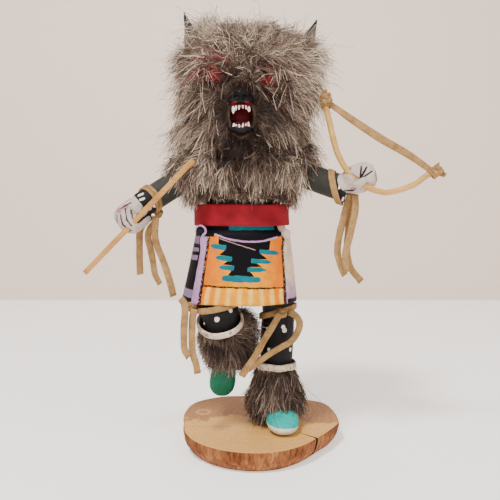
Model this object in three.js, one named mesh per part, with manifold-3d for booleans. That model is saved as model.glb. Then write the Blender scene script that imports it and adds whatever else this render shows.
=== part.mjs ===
/**
 * Carved wolf kachina doll standing on a slice of branch.
 *
 * Millimetres, +Z up. The origin is the centre of the slab's flat underside. The doll faces -Y,
 * so its right hand is towards -X. It stands on its left leg, lifts its right leg, holds a reed
 * in its right hand and a small bow in its left, and is dressed in fur, a sash and a kilt.
 *
 * The body with its legs is one carving. Arms, head and ears are pieces of their own, and fur,
 * sash, kilt, laces, bow and reed are separate things put on the figure.
 */
import * as THREE from "three";
import { mergeVertices } from "three/addons/utils/BufferGeometryUtils.js";
import Module from "manifold-3d";

const wasm = await Module();
wasm.setup();

// ---------------------------------------------------------------- driving dimensions

const GAP = 0.35;              // clear gap wherever one piece meets another
const SLAB_THICK = 11.5;       // height of the slice of branch
const SLAB_UNDERCUT = 4;       // how much smaller the slice is at its underside
// Radius of the slice's upper rim at equal steps of angle, from +X round through +Y.
const SLAB_RADII = [43.4, 46.5, 50.6, 46.5, 45.6, 46.2, 50.4, 52, 47.6, 43.4, 43.6, 43.4, 42.2, 41,
  39.6, 37.6, 36.2, 38];
const CRACK_TURN = -38;        // degrees, where the slice has split at its rim
const CRACK_WIDE = 1.6;
const CRACK_DEEP = 13;

const SOLE = SLAB_THICK + GAP; // height of the standing foot's sole
const BODY_X = -10.5;          // the figure's middle, left of the slab's centre
const SHOULDER_Z = 155;
const NECK_TOP = 164.5;

const LEG_R = 9.3;             // standing leg, a plain round limb
const KNEE_R = 10.4;           // bent knee of the lifted leg
const ARM_R = 6.9;
const REED = 3.5;              // square reed in the right hand
const REED_TOP = [-35.9, -27, 153.7];
const REED_FOOT = [-89.2, -15, 98.8];
const STAVE_R = 1.55;          // bent twig of the bow
const BOW_Y = -19;
const LACE_WIDE = 3.8;         // suede lace used for every tie and for the bowstring
const LACE_THICK = 1.3;
const LACE_STEPS = 5;

const HEAD_X = -10.4;
const SASH_LOW = 120.4;
const SASH_HIGH = 132.6;
const SASH_THICK = 1.5;
const KILT_HEM = 81.3;
const KILT_TOP = 123.5;
const KILT_THICK = 1.3;
const FUR_LOW = 129.4;         // tips of the mantle's locks, hanging over the sash
const FUR_PARTING = 168;       // where the mantle meets the hood
const FUR_TOP = 228.5;

// ---------------------------------------------------------------- making and joining solids

const vec = (p) => new THREE.Vector3(...p);

/** Joins the corners that coincide, drops flattened triangles and points all faces outwards. */
function welded(geometry) {
  const plain = geometry.clone();
  for (const name of ["normal", "uv"]) {
    plain.deleteAttribute(name);
  }
  const joined = mergeVertices(plain, 1e-4);
  const corners = joined.attributes.position;
  const kept = [];
  let volume = 0;
  for (let i = 0; i < joined.index.count; i += 3) {
    const [a, b, c] = [0, 1, 2].map((k) => joined.index.getX(i + k));
    if (a !== b && b !== c && c !== a) {
      kept.push(a, b, c);
      const [p, q, r] = [a, b, c].map((k) => new THREE.Vector3().fromBufferAttribute(corners, k));
      volume += p.dot(q.cross(r));
    }
  }
  joined.setIndex(volume < 0 ? kept.reverse() : kept);
  return joined;
}

function solid(geometry) {
  const closed = welded(geometry);
  return new wasm.Manifold(new wasm.Mesh({
    numProp: 3,
    vertProperties: new Float32Array(closed.attributes.position.array),
    triVerts: new Uint32Array(closed.index.array),
  }));
}

function geometryOf(shape) {
  const mesh = shape.getMesh();
  const geometry = new THREE.BufferGeometry();
  geometry.setAttribute("position", new THREE.BufferAttribute(mesh.vertProperties, 3));
  geometry.setIndex(new THREE.BufferAttribute(mesh.triVerts, 1));
  return geometry;
}

const joinAll = (shapes) => shapes.reduce((whole, next) => whole.add(next));
const cutAll = (shape, tools) => tools.reduce((left, tool) => left.subtract(tool), shape);

/** A section's place at an angle: 2 is an ellipse, more is squarer. */
function sectionPoint(angle, square) {
  const [c, s] = [Math.cos(angle), Math.sin(angle)];
  const power = 2 / square;
  return [Math.sign(c) * Math.abs(c) ** power, Math.sign(s) * Math.abs(s) ** power];
}

/** Splits the run between stations [x, y, z, half width, half depth, squareness] smoothly. */
function smooth(stations, count) {
  const spline = (points) => new THREE.CatmullRomCurve3(points, false, "catmullrom", 0.5);
  const places = spline(stations.map((s) => vec(s.slice(0, 3))));
  const sizes = spline(stations.map((s) => vec([s[3], s[4], s[5] ?? 2])));
  return Array.from({ length: count + 1 }, (_, i) => [
    ...places.getPoint(i / count).toArray(), ...sizes.getPoint(i / count).toArray(),
  ]);
}

/**
 * A closed body of oval sections strung along stations [x, y, z, half width, half depth,
 * squareness]. Sections stand square to the run, or lie level where `level` is set. `side` is
 * the direction of their width, `grow` adds to every half size, `relief` scales a section at
 * each angle and height, for locks of hair, and `tips` lifts every second corner of the first
 * section, for a ragged lower edge.
 */
function loft(stations, sides, { level, side = [1, 0, 0], grow = 0, relief, tips = 0 } = {}) {
  const rows = stations.length - 1;
  const centres = stations.map((s) => vec(s.slice(0, 3)));
  const frames = centres.map((_, i) => {
    const run = centres[Math.min(i + 1, rows)].clone().sub(centres[Math.max(i - 1, 0)]);
    const along = level ? vec([0, 0, 1]) : run.normalize();
    const wide = vec(side).addScaledVector(along, -vec(side).dot(along)).normalize();
    return [wide, along.clone().cross(wide)];
  });
  const body = new THREE.CylinderGeometry(1, 1, 1, sides, rows);
  const corners = body.attributes.position;
  for (let i = 0; i < corners.count; i += 1) {
    const row = Math.round((corners.getY(i) + 0.5) * rows);
    const [x, z] = [corners.getX(i), corners.getZ(i)];
    const place = centres[row].clone();
    if (Math.hypot(x, z) > 0.5) {
      const angle = Math.atan2(x, z);
      const [, , height, halfWide, halfDeep, square] = stations[row];
      const scale = relief ? relief(angle, height) : 1;
      const [u, v] = sectionPoint(angle, square ?? 2);
      place.addScaledVector(frames[row][0], u * (halfWide * scale + grow));
      place.addScaledVector(frames[row][1], v * (halfDeep * scale + grow));
      place.z += row === 0 ? tips * (0.5 + 0.5 * Math.cos((angle * sides) / 2)) : 0;
    }
    corners.setXYZ(i, place.x, place.y, place.z);
  }
  return solid(body);
}

/** A rounded lump: a squarish ball turned so that its long axis follows `along`. */
function lump(centre, half, { along = [1, 0, 0], square = 2.4, detail = 14 } = {}) {
  const ball = new THREE.SphereGeometry(1, detail, Math.round(detail * 0.7));
  const corners = ball.attributes.position;
  const turn = new THREE.Quaternion().setFromUnitVectors(vec([1, 0, 0]), vec(along).normalize());
  for (let i = 0; i < corners.count; i += 1) {
    const p = new THREE.Vector3().fromBufferAttribute(corners, i);
    const level = Math.max(Math.hypot(p.x, p.z), 1e-9);
    const [u, v] = sectionPoint(Math.atan2(p.z, p.x), square);
    const [k, h] = sectionPoint(Math.atan2(p.y, level), square);
    const place = new THREE.Vector3(u * k * half[0], v * k * half[1], h * half[2]);
    place.applyQuaternion(turn).add(vec(centre));
    corners.setXYZ(i, place.x, place.y, place.z);
  }
  return solid(ball);
}

/** A flat or round strand along a smooth path; `face` is the way its flat side looks. */
function strand(points, wide, thick, { sides = 8, steps, face = [0, -1, 0], grow = 0 } = {}) {
  const path = new THREE.CatmullRomCurve3(points.map(vec), false, "centripetal");
  const count = steps ?? Math.max(5, Math.round(path.getLength() / (wide * 1.6)));
  const frames = path.computeFrenetFrames(count, false);
  const across = frames.tangents[0].clone().cross(vec(face)).normalize();
  const turn = Math.atan2(across.dot(frames.binormals[0]), across.dot(frames.normals[0]));
  const square = wide > thick * 1.5 ? 4 : 2;
  const outline = Array.from({ length: sides }, (_, i) => {
    const [u, v] = sectionPoint(((i + 0.5) * 2 * Math.PI) / sides, square);
    const corner = new THREE.Vector2(u * (wide / 2 + grow), v * (thick / 2 + grow));
    return corner.rotateAround(new THREE.Vector2(), turn);
  });
  const options = { extrudePath: path, steps: count, bevelEnabled: false };
  return solid(new THREE.ExtrudeGeometry(new THREE.Shape(outline), options));
}

/** A flat band closed round a limb; `lean` is square to the plane that its middle lies in. */
function band(centre, along, inner, wide, thick, { sides = 16, lean = along } = {}) {
  const [low, high] = [-wide / 2, wide / 2];
  const profile = [
    [inner, low], [inner + thick, low * 0.8], [inner + thick, high * 0.8], [inner, high],
    [inner, low],
  ];
  const ring = new THREE.LatheGeometry(profile.map((p) => new THREE.Vector2(...p)), sides);
  const run = vec(along).normalize();
  ring.applyQuaternion(new THREE.Quaternion().setFromUnitVectors(vec([0, 1, 0]), run));
  const corners = ring.attributes.position;
  for (let i = 0; i < corners.count; i += 1) {
    const place = new THREE.Vector3().fromBufferAttribute(corners, i);
    const radial = place.clone().addScaledVector(run, -place.dot(run));
    place.addScaledVector(run, -radial.dot(vec(lean)) / run.dot(vec(lean))).add(vec(centre));
    corners.setXYZ(i, place.x, place.y, place.z);
  }
  return solid(ring);
}

// ---------------------------------------------------------------- slab

function slabRim(angle, inset) {
  const rim = SLAB_RADII.map((r, i) => {
    const turn = (i / SLAB_RADII.length) * 2 * Math.PI;
    return vec([r * Math.cos(turn), r * Math.sin(turn), 0]);
  });
  const outline = new THREE.CatmullRomCurve3(rim, true, "catmullrom", 0.5);
  const place = outline.getPoint((((angle / (2 * Math.PI)) % 1) + 1) % 1);
  return place.multiplyScalar(1 - inset / place.length());
}

function baseSlab() {
  // Height and inset from the upper rim: bark bulges a little between two sawn faces.
  const levels = [
    [0, SLAB_UNDERCUT + 0.8], [1, SLAB_UNDERCUT], [5, 1.2], [10.6, 0], [SLAB_THICK, 0.7],
  ];
  const body = new THREE.CylinderGeometry(1, 1, 1, 38, levels.length - 1);
  const corners = body.attributes.position;
  for (let i = 0; i < corners.count; i += 1) {
    const [height, inset] = levels[Math.round((corners.getY(i) + 0.5) * (levels.length - 1))];
    const [x, z] = [corners.getX(i), corners.getZ(i)];
    const edge = Math.hypot(x, z) > 0.5;
    const place = edge ? slabRim(Math.atan2(x, z), inset) : vec([0, 0, 0]);
    corners.setXYZ(i, place.x, place.y, height);
  }
  const turn = THREE.MathUtils.degToRad(CRACK_TURN);
  const reach = 46;
  const wedge = new THREE.Shape([
    new THREE.Vector2(0, 0), new THREE.Vector2(reach, -CRACK_WIDE * 1.6),
    new THREE.Vector2(reach, CRACK_WIDE * 1.6),
  ]);
  const crack = new THREE.ExtrudeGeometry(wedge, { depth: SLAB_THICK + 4, bevelEnabled: false });
  const rim = slabRim(turn, 0).length();
  crack.translate(rim - CRACK_DEEP, 0, -2);
  crack.rotateZ(turn);
  return solid(body).subtract(solid(crack));
}

// ---------------------------------------------------------------- carved figure

const TORSO = [
  [BODY_X + 1, 0, 92, 13, 11], [BODY_X, 0, 98, 21, 15.5], [BODY_X - 0.5, 0, 112, 22, 16.8],
  [BODY_X - 0.7, -0.5, 126, 21.6, 17.2], [BODY_X, 0, 140, 21, 16.5],
  [BODY_X, 0, SHOULDER_Z - 3, 19.5, 15], [BODY_X, 0, SHOULDER_Z + 3, 14, 12.5],
  [BODY_X, 0, NECK_TOP - 3, 10, 10], [BODY_X, 0, NECK_TOP, 9.5, 9.5],
];

const STANDING_LEG = [
  [5, 0.5, 101, 8.5, 8.5], [8, 1.2, 90, LEG_R, LEG_R], [9.6, 1.8, 78, LEG_R - 0.2, LEG_R - 0.2],
  [9, 2, 62, LEG_R + 0.2, LEG_R], [8, 2, 47, LEG_R, LEG_R - 0.2], [8.6, 2, 34, 8.4, 8.2],
  [9.4, 2.6, 24, 7.6, 7.6], [9.8, 3, SOLE + 1.5, 8, 8], [9.8, 3, SOLE, 7.4, 7.4],
];

const LIFTED_THIGH = [
  [-19, 1, 100, 9, 9], [-21.3, -7, 91, 9.8, 9.8], [-22.3, -14, 82, KNEE_R, KNEE_R],
  [-22.4, -17, 76.5, KNEE_R - 0.2, KNEE_R - 0.2], [-22.1, -15.6, 70.4, 8.8, 8.8],
];

const LIFTED_SHIN = [
  [-22.3, -19, 77, 8.6, 8.6], [-21.8, -15.5, 71, KNEE_R, KNEE_R - 0.2],
  [-19.5, -5.5, 61, 9.4, 9.2], [-19.4, 3, 50, 7.4, 7.2], [-20.2, 5.6, 43.5, 7, 6.4],
];

/** A soft shoe: sections stacked along the foot from heel to toe. */
function moccasin(heel, toe, up, halfWide, height, grow) {
  const run = vec(toe).sub(vec(heel));
  const sole = vec(up).normalize();
  const half = height / 2;
  // Share of the foot's length, half width and half height there.
  const shape = [
    [0, 0.45, 0.5], [0.06, 0.72, 0.82], [0.25, 0.86, 1], [0.5, 0.95, 0.98], [0.7, 1, 0.82],
    [0.86, 0.92, 0.66], [0.96, 0.66, 0.5], [1, 0.35, 0.3],
  ];
  const stations = shape.map(([share, wide, tall]) => {
    const lift = sole.clone().multiplyScalar(half * tall - half);
    return [...vec(heel).addScaledVector(run, share).add(lift).toArray(), wide * halfWide,
      half * tall, 2.5];
  });
  const across = run.clone().cross(sole).normalize();
  return loft(stations, 12, { side: across.toArray(), grow });
}

/** The standing shoe lies flat on the slab; the lifted one hangs with its toe down. */
const standingShoe = (grow = 0) => cutAll(
  moccasin([9, 12.5, SOLE + 6.3], [12, -22.4, SOLE + 6.3], [0, 0, 1], 9, 12.6, grow),
  grow ? [] : [levelBlock(SOLE)],
);
const liftedShoe = (grow = 0) => moccasin(
  [-19.5, 6, 49.5], [-22.8, 3.4, 25.8], [0.12, -1, 0.18], 7.6, 11, grow,
);

/** Everything below a level, as a cutting block. */
function levelBlock(top) {
  const block = new THREE.BoxGeometry(120, 120, 40);
  block.translate(0, 0, top - 20);
  return solid(block);
}

function figure(grow = 0) {
  const limb = (stations, count, sides) => loft(smooth(stations, count), sides, { grow });
  return joinAll([
    loft(smooth(TORSO, 6), 12, { level: true, grow }),
    limb(STANDING_LEG, 7, 12), limb(LIFTED_THIGH, 4, 12), limb(LIFTED_SHIN, 5, 12),
    standingShoe(grow), liftedShoe(grow),
  ]);
}

// ---------------------------------------------------------------- wolf head

const SKULL = [
  [HEAD_X, 0, NECK_TOP + GAP, 12, 12], [HEAD_X, 0, 169, 18.5, 17.5], [HEAD_X, 0, 180, 22.5, 20.5],
  [HEAD_X, 1, 196, 23.5, 21.5], [HEAD_X, 1, 208, 21, 19.5], [HEAD_X, 1, 216, 15, 14],
  [HEAD_X, 1, 220, 5, 5],
];
const EYE_SPREAD = 13.4;
const EYE_Z = 194;
const SNOUT_Y = -49.5;         // tip of the nose
const JAW_Y = -46;

/** Upper jaw and bridge of the nose, running forwards to the nose pad. */
function upperJaw() {
  return loft([
    [HEAD_X, -10, 186, 13, 9.5], [HEAD_X, -20, 185, 11, 8.6], [HEAD_X, -29, 183.2, 8, 6.3],
    [HEAD_X, -38, 181.4, 6.2, 4.6], [HEAD_X, SNOUT_Y + 4, 180.6, 5.5, 3.9],
    [HEAD_X, SNOUT_Y + 1, 180.4, 4.6, 3.3], [HEAD_X, SNOUT_Y, 180.4, 2.8, 2],
  ], 12);
}

function lowerJaw() {
  return loft([
    [HEAD_X, -10, 171, 12, 5.5], [HEAD_X, -20, 169.6, 9.6, 4.2], [HEAD_X, -30, 167.9, 7, 2.9],
    [HEAD_X, -39, 166.9, 5.6, 2.3], [HEAD_X, JAW_Y + 2, 166.5, 4.7, 2],
    [HEAD_X, JAW_Y, 166.5, 3, 1.2],
  ], 10);
}

/** The throat joins both jaws at the back of the open mouth. */
function throat() {
  return loft([[HEAD_X, -10, 176.5, 11, 9], [HEAD_X, -24, 175.5, 7.4, 8.4]], 10);
}

function tooth(x, y, root, tip, radius) {
  const length = Math.abs(tip - root);
  const cone = new THREE.ConeGeometry(radius, length, 4);
  cone.rotateX(tip > root ? Math.PI / 2 : -Math.PI / 2);
  cone.translate(x, y, (root + tip) / 2);
  return solid(cone);
}

function teeth() {
  const rows = [];
  for (const side of [-1, 1]) {
    rows.push(tooth(HEAD_X + side * 4.1, -44.2, 179.5, 173.8, 1.1));
    rows.push(tooth(HEAD_X + side * 3.7, -42.6, 166.6, 171.6, 1.05));
    for (const step of [0.8, 2.3]) {
      rows.push(tooth(HEAD_X + side * step, SNOUT_Y + 3.4, 178.6, 175.1, 0.8));
      rows.push(tooth(HEAD_X + side * step, JAW_Y + 1.6, 167.2, 170.1, 0.75));
    }
  }
  return rows;
}

function head() {
  const eyes = [-1, 1].map((side) => lump([HEAD_X + side * EYE_SPREAD, -17.2, EYE_Z], [4.6, 4.2, 4],
    { square: 2, detail: 8 }));
  const skull = loft(smooth(SKULL, 6), 14, { level: true });
  return joinAll([skull, upperJaw(), lowerJaw(), throat(), ...eyes, ...teeth()]);
}

/** Plain hollows that the fur leaves round the head, the muzzle, the eyes and the trunk. */
function headRoom() {
  const dome = loft([
    [HEAD_X, 0, 150, 20, 19], [HEAD_X, 0, 168, 21.5, 20], [HEAD_X, 0.5, 182, 25.6, 24],
    [HEAD_X, 1, 198, 26, 24.4], [HEAD_X, 1, 211, 22.4, 21], [HEAD_X, 1, 221.5, 8, 8],
  ], 14, { level: true });
  const muzzle = loft([
    [HEAD_X, -8, 180, 16, 19], [HEAD_X, -22, 178.6, 13, 17], [HEAD_X, -36, 175.2, 9.6, 13],
    [HEAD_X, -56, 174, 9, 12.4],
  ], 10);
  const sockets = [-1, 1].map((side) => loft([
    [HEAD_X + side * EYE_SPREAD, -14, EYE_Z, 5.6, 5.2],
    [HEAD_X + side * EYE_SPREAD, -24, EYE_Z, 5.8, 5.4],
    [HEAD_X + side * (EYE_SPREAD + 0.5), -44, EYE_Z, 7.5, 7],
  ], 8));
  return [dome, muzzle, ...sockets];
}

const trunkRoom = () => loft([
  [BODY_X, 0, FUR_LOW - 3, 24, 20], [BODY_X, 0, 142, 23, 18.5],
  [BODY_X, 0, SHOULDER_Z + 3, 17, 15.4], [BODY_X, 0, FUR_PARTING, 12, 12],
], 14, { level: true });

/** A thin pointed ear that leans outwards. */
function ear(side, grow = 0) {
  const [foot, tip] = side < 0 ? [-39.4, [-41.6, 0, 235]] : [24.4, [29.4, 0, 231.2]];
  const stations = [
    [foot, 2, 209, 5, 2.4], [foot + side * 0.4, 1.6, 215, 4.6, 2.2],
    [foot + side * 1.4, 0.8, 224, 2.8, 1.6], [...tip, 0.5, 0.4],
  ];
  return loft(stations, 8, { level: true, grow });
}

// ---------------------------------------------------------------- arms and what they hold

const RIGHT_ARM = [[-22, 0.5, 158.8], [-34, -4, 151], [-48, -9, 142], [-63.2, -14, 131.6]];
const LEFT_ARM = [[0.5, 0.5, 157], [14, -3, 152], [28, -8, 146.2], [45, -13.6, 139.8]];
// A fist's middle, the way its knuckles point and its half sizes.
const RIGHT_FIST = [[-66.9, -15.6, 126.6], [-0.75, -0.1, -0.66], [9.4, 8.3, 8.2]];
const LEFT_FIST = [[50.2, -15.6, 146], [0.93, -0.1, 0.34], [9, 8.2, 7.8]];
const STAVE_PATH = [
  [31.4, BOW_Y, 188], [33, BOW_Y, 177], [37.4, BOW_Y, 162], [45.7, BOW_Y, 146.8],
  [54.9, BOW_Y, 139.5], [65, BOW_Y, 137.6], [77, BOW_Y, 141], [91.4, BOW_Y, 151.6],
];

/** Three shallow grooves part the fingers of a fist across its outer face. */
function fist([centre, along, half], fingers) {
  const grooves = fingers.map(([from, to]) => straight(from, to, 1, 4));
  return cutAll(lump(centre, half, { along, square: 2.6, detail: 12 }), grooves);
}

/** A straight rod with parallel sides. */
function straight(from, to, wide, sides, grow = 0) {
  const middle = vec(from).lerp(vec(to), 0.5).toArray();
  return strand([from, middle, to], wide, wide, { sides, steps: 1, grow });
}

function reed(grow = 0) {
  return straight(REED_TOP, REED_FOOT, REED, 8, grow);
}

function stave(grow = 0) {
  return strand(STAVE_PATH, STAVE_R * 2, STAVE_R * 2, { sides: 8, steps: 18, grow });
}

function armRod(path) {
  return loft(smooth(path.map((p) => [...p, ARM_R, ARM_R]), 5), 14, { side: [0, 1, 0] });
}

/** A plain straight sleeve that the fur leaves for an arm. */
function armRoom(path) {
  return loft([path[0], path[path.length - 1]].map((p) => [...p, ARM_R + 2.4, ARM_R + 2.4]), 10,
    { side: [0, 1, 0] });
}

/** The right fist is closed round the reed, the left one round the bow. */
function rightArm() {
  const fingers = [0, 1, 2].map((i) => [
    [-67 - i * 2.9, -24.4, 133.2 - i * 3.2], [-64.6 - i * 2.8, -24.2, 123 - i * 1.2],
  ]);
  return armRod(RIGHT_ARM).add(fist(RIGHT_FIST, fingers));
}

function leftArm() {
  const fingers = [0, 1, 2].map((i) => [
    [51.6, -24.2, 144.6], [51.6 + i * 2.6, -22.6, 152.8 - i * 1.8],
  ]);
  return armRod(LEFT_ARM).add(fist(LEFT_FIST, fingers));
}

// Where the bowstring is wound round the stave's tips: middle, direction and knot.
const TOP_LASHING = { centre: [32.1, BOW_Y, 184.4], along: [0.14, 0, -1], knot: [30.6, -20, 188] };
const LOW_LASHING = { centre: [88.4, BOW_Y, 149.2], along: [0.8, 0, 0.6], knot: [90.4, -20, 147.6] };

/** The bowstring's lace wound round one tip of the stave, ending in a rough knot. */
function lashing({ centre, along, knot }) {
  const bob = lump(knot, [3, 2.2, 2.4], { square: 2, detail: 7 });
  return band(centre, along, STAVE_R, 6.4, 2, { sides: 7 }).add(bob).subtract(stave(GAP));
}

// ---------------------------------------------------------------- cloth, kilt and fur

const WAIST = { x: -11.2, y: -1, wide: 25.7, deep: 21.6 };

/** A level ring of cloth or leather: an outer form, with what stands on it, hollowed out. */
function wrap(stations, sides, thick, extras = []) {
  const outer = joinAll([loft(stations, sides, { level: true }), ...extras]);
  const past = stations.map((s) => [...s]);
  past[0][2] -= 3;
  past[past.length - 1][2] += 3;
  return outer.subtract(loft(past, sides, { level: true, grow: -thick }));
}

function sash() {
  const { x, y, wide, deep } = WAIST;
  const edges = [SASH_LOW, SASH_HIGH].map((height) => [x, y, height, wide, deep, 2.2]);
  return wrap(edges, 36, SASH_THICK);
}

/** The kilt flares from under the sash to its hem; its two front corners are gathered. */
function kilt() {
  const { x, y, wide, deep } = WAIST;
  const tucked = SASH_THICK + GAP;
  const stations = [
    [x - 0.7, -2, KILT_HEM, 32.2, 26.4, 2.5], [x - 0.5, -1.5, 100, 30, 24.4, 2.3],
    [x, -1, SASH_LOW - 3, 27.9, 22.6, 2.2],
    [x, y, SASH_LOW - 0.6, wide - tucked, deep - tucked, 2.2],
    [x, y, KILT_TOP, wide - tucked, deep - tucked, 2.2],
  ];
  const gathers = [[-34.6, -15.4, 116.2], [12, -16.6, 116]].map((p) => lump(p, [2.8, 2.3, 3.6],
    { square: 2, detail: 6 }));
  return wrap(stations, 26, KILT_THICK, gathers);
}

/** Locks of hair: uneven ridges that break step with every `rise` of height, below a cuff. */
function locks(count, depth, rise, cuff = Infinity) {
  return (angle, height) => {
    if (height > cuff) {
      return 1;
    }
    const ridge = Math.cos(angle * count + Math.floor(height / rise) * Math.PI);
    return 1 + depth * ridge * (1 + 0.4 * Math.sin(angle * 5 + height * 0.3));
  };
}

const MANTLE = [
  [-11, -1, FUR_LOW, 29.6, 26.4], [-11.6, -1, 137, 31.5, 28.5], [-12.2, -1.5, 144, 35.5, 30.5],
  [-12, -2, 151, 39.6, 31.5], [-10.4, -1.5, 159, 39, 31.5], [-11.4, -1, 164.5, 37.2, 31],
  [-11.8, -1, FUR_PARTING - GAP, 36, 30.5],
];
const HOOD = [
  [-11.8, -1, FUR_PARTING, 36.4, 31], [-10.6, -1.5, 176, 36.8, 32.4], [-8.6, -2, 187, 39.2, 33.6],
  [-6.8, -1.5, 199, 40.4, 33], [-6.8, -0.5, 209, 39.2, 31], [-6.6, 0, 218, 35.6, 28],
  [-6.8, 0.5, 224.5, 26, 20.5], [-7, 1, FUR_TOP, 10, 8],
];

/** The mantle's front edges meet in a parting that runs down from the chin. */
function parting() {
  return loft([
    [-12, -30, FUR_LOW - 2, 1.6, 7], [-11.6, -33, 150, 2.4, 7],
    [-10.6, -33, FUR_PARTING + 2, 3.4, 8],
  ], 8, { level: true });
}

function furMantle() {
  const bulk = loft(MANTLE, 28, { level: true, relief: locks(14, 0.04, 14), tips: 4.4 });
  const { x, y, wide, deep } = WAIST;
  const sashRoom = loft([FUR_LOW - 3, SASH_HIGH + GAP].map((height) => [
    x, y, height, wide + GAP, deep + GAP, 2.2,
  ]), 36, { level: true });
  const [dome, muzzle] = headRoom();
  return cutAll(bulk, [
    trunkRoom(), sashRoom, dome, muzzle, armRoom(RIGHT_ARM), armRoom(LEFT_ARM), reed(GAP * 3),
    parting(),
  ]);
}

function furHood() {
  const bulk = loft(HOOD, 28, { level: true, relief: locks(14, 0.04, 14), tips: 4 });
  return cutAll(bulk, [...headRoom(), ear(-1, GAP), ear(1, GAP)]);
}

/** The hollow that a legging leaves for its leg. */
function legRoom(stations) {
  return loft(stations.map(([x, y, z, r]) => [x, y, z, r, r]), 12);
}

/** Fur leggings: a turned skin cuff at the top and hair that widens below it. */
function legFurLeft() {
  const fur = loft([
    [8.8, 2.4, SOLE + 0.2, 13.2, 12.8], [8.4, 2.2, 17, 14.8, 14], [8.2, 2, 26, 14.8, 13.8],
    [8, 2, 37, 13, 12.4], [7.9, 2, 43, 11.6, 11.4], [7.9, 2, 46.6, 11.3, 11.3],
  ], 18, { level: true, relief: locks(9, 0.045, 14, 42), tips: 2.6 });
  const leg = legRoom([
    [9.4, 3, SLAB_THICK - 2, 10.4], [9.2, 2.6, 24, 9.8], [8.2, 2, 36, 9.9], [8, 2, 52, 10.2],
  ]);
  return cutAll(fur, [leg, standingShoe(GAP * 1.5)]);
}

function legFurRight() {
  const fur = loft([
    [-21, 7.5, 38, 5.4, 5], [-20.2, 6.5, 44, 9, 8.4], [-18.9, 2.5, 52, 12.6, 11.4],
    [-18.6, -4, 60, 14.6, 13], [-20.8, -12.4, 67.4, 12.6, 12], [-21.6, -15.4, 70.2, 12.1, 11.9],
    [-22, -17.9, 72.6, 11.8, 11.8],
  ], 18, { relief: locks(9, 0.05, 14, 66) });
  return fur.subtract(figure(GAP * 1.5));
}

// ---------------------------------------------------------------- ties and hanging laces

// Each tie is a lace drawn round a limb and knotted.
const TIES = {
  wrist_tie_right: {
    centre: [-56.4, -11.8, 136.2], along: [-0.79, -0.26, -0.55], inner: ARM_R,
    knot: [-54.3, -6.8, 127.6],
  },
  wrist_tie_left: {
    centre: [38, -11.3, 142.4], along: [0.88, -0.29, -0.34], inner: ARM_R,
    lean: [1.1, -0.36, 0.26], knot: [40.8, -10.6, 130.6],
  },
  knee_tie_right: {
    centre: [-22.4, -15.6, 79], along: [0, 0.45, 0.9], inner: KNEE_R + 0.9,
    lean: [0, 0, 1], knot: [-35.2, -22, 78.2],
  },
  knee_tie_left: {
    centre: [9.4, 1.9, 73.4], along: [0.04, 0, 1], inner: LEG_R + 0.2,
    lean: [-0.2, 0.1, 1], knot: [11, -10.6, 74.4],
  },
};

// The free ends hang from the knots, each along its own route.
const LACES = {
  lace_wrist_right_1: [
    [-59.2, -5.2, 126.4], [-63, -5.2, 122.8], [-65.4, -5.6, 118.4], [-65.5, -6.6, 112.6],
    [-65.5, -7, 104.6], [-65.3, -7, 95.4],
  ],
  lace_wrist_right_2: [
    [-55.4, -14.2, 126.4], [-55.6, -14.4, 122.4], [-55.8, -14.4, 116.4], [-54.8, -14.2, 110.8],
    [-51.7, -14, 102.9], [-48.7, -14, 93.4], [-46.6, -14, 84.9],
  ],
  lace_wrist_right_3: [
    [-55.8, -10.6, 123.4], [-58.8, -10.6, 120], [-60.2, -10.6, 115.6], [-58.9, -10.6, 109],
    [-57.6, -10.6, 101.6], [-56.7, -10.6, 95.7], [-54.3, -10.6, 90.6],
  ],
  lace_wrist_left_1: [
    [42, -13.4, 128], [41, -13.4, 124.4], [40, -13.4, 117.6], [39.5, -13.4, 109.6],
    [40.7, -13.4, 102.4], [43.3, -13.4, 95.8],
  ],
  lace_wrist_left_2: [
    [46.2, -16.6, 131.6], [47, -16.6, 127], [46.3, -16.6, 121.3], [44.8, -16.6, 114.1],
    [43.3, -16.6, 107.9], [43.2, -16.6, 102.7], [43.9, -16.6, 97.7],
  ],
  lace_wrist_left_3: [
    [44.6, -10.2, 127.8], [45.9, -10.2, 123], [45.5, -10.2, 117], [45.1, -10.2, 108.5],
    [46.2, -10.2, 101.1], [48.9, -10.2, 96.3], [52.8, -10.2, 92.2],
  ],
  lace_knee_right_1: [
    [-41, -27, 85.1], [-39, -28.4, 82.4], [-38.8, -28.8, 77.7], [-39.3, -28.4, 71.5],
    [-39.5, -28, 64.9], [-39.2, -27.6, 59.2], [-37, -27.4, 55.7],
  ],
  lace_knee_right_2: [
    [-34.2, -26.9, 79.8], [-35, -26.9, 76.6], [-35.4, -26.8, 72.4], [-35.6, -26.6, 64.3],
    [-35.3, -26.4, 57.2], [-33.7, -26, 51.5], [-33, -25.4, 47],
  ],
  lace_knee_left_1: [
    [9.7, -14.2, 73.6], [8.6, -14.2, 70.6], [5.7, -14.4, 65.1], [0.6, -15, 58.9], [-2.3, -15.8, 53.3],
    [-5.8, -16.9, 47.7], [-10.5, -17.6, 43.7],
  ],
  lace_knee_left_2: [
    [16.4, -10.4, 74.4], [19.6, -10.2, 71], [19.2, -10.4, 67], [16.9, -10.8, 63.3], [14, -11.4, 57.7],
    [6.4, -12.2, 54.6], [0.6, -13, 50.9],
  ],
};

function tie({ centre, along, inner, lean, knot }) {
  const ring = band(centre, along, inner + GAP, LACE_WIDE, LACE_THICK, { sides: 14, lean });
  return ring.add(lump(knot, [3.1, 2.4, 3], { square: 2.2, detail: 8 }));
}

const STRING_PATH = [
  [36.6, BOW_Y - 0.6, 182], [46, BOW_Y - 0.6, 176.2], [58, BOW_Y - 0.8, 168.2],
  [70.4, BOW_Y - 0.6, 159.8], [80.4, BOW_Y - 0.6, 153.3], [84.4, BOW_Y - 0.6, 150.8],
];

// ---------------------------------------------------------------- the doll

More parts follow.
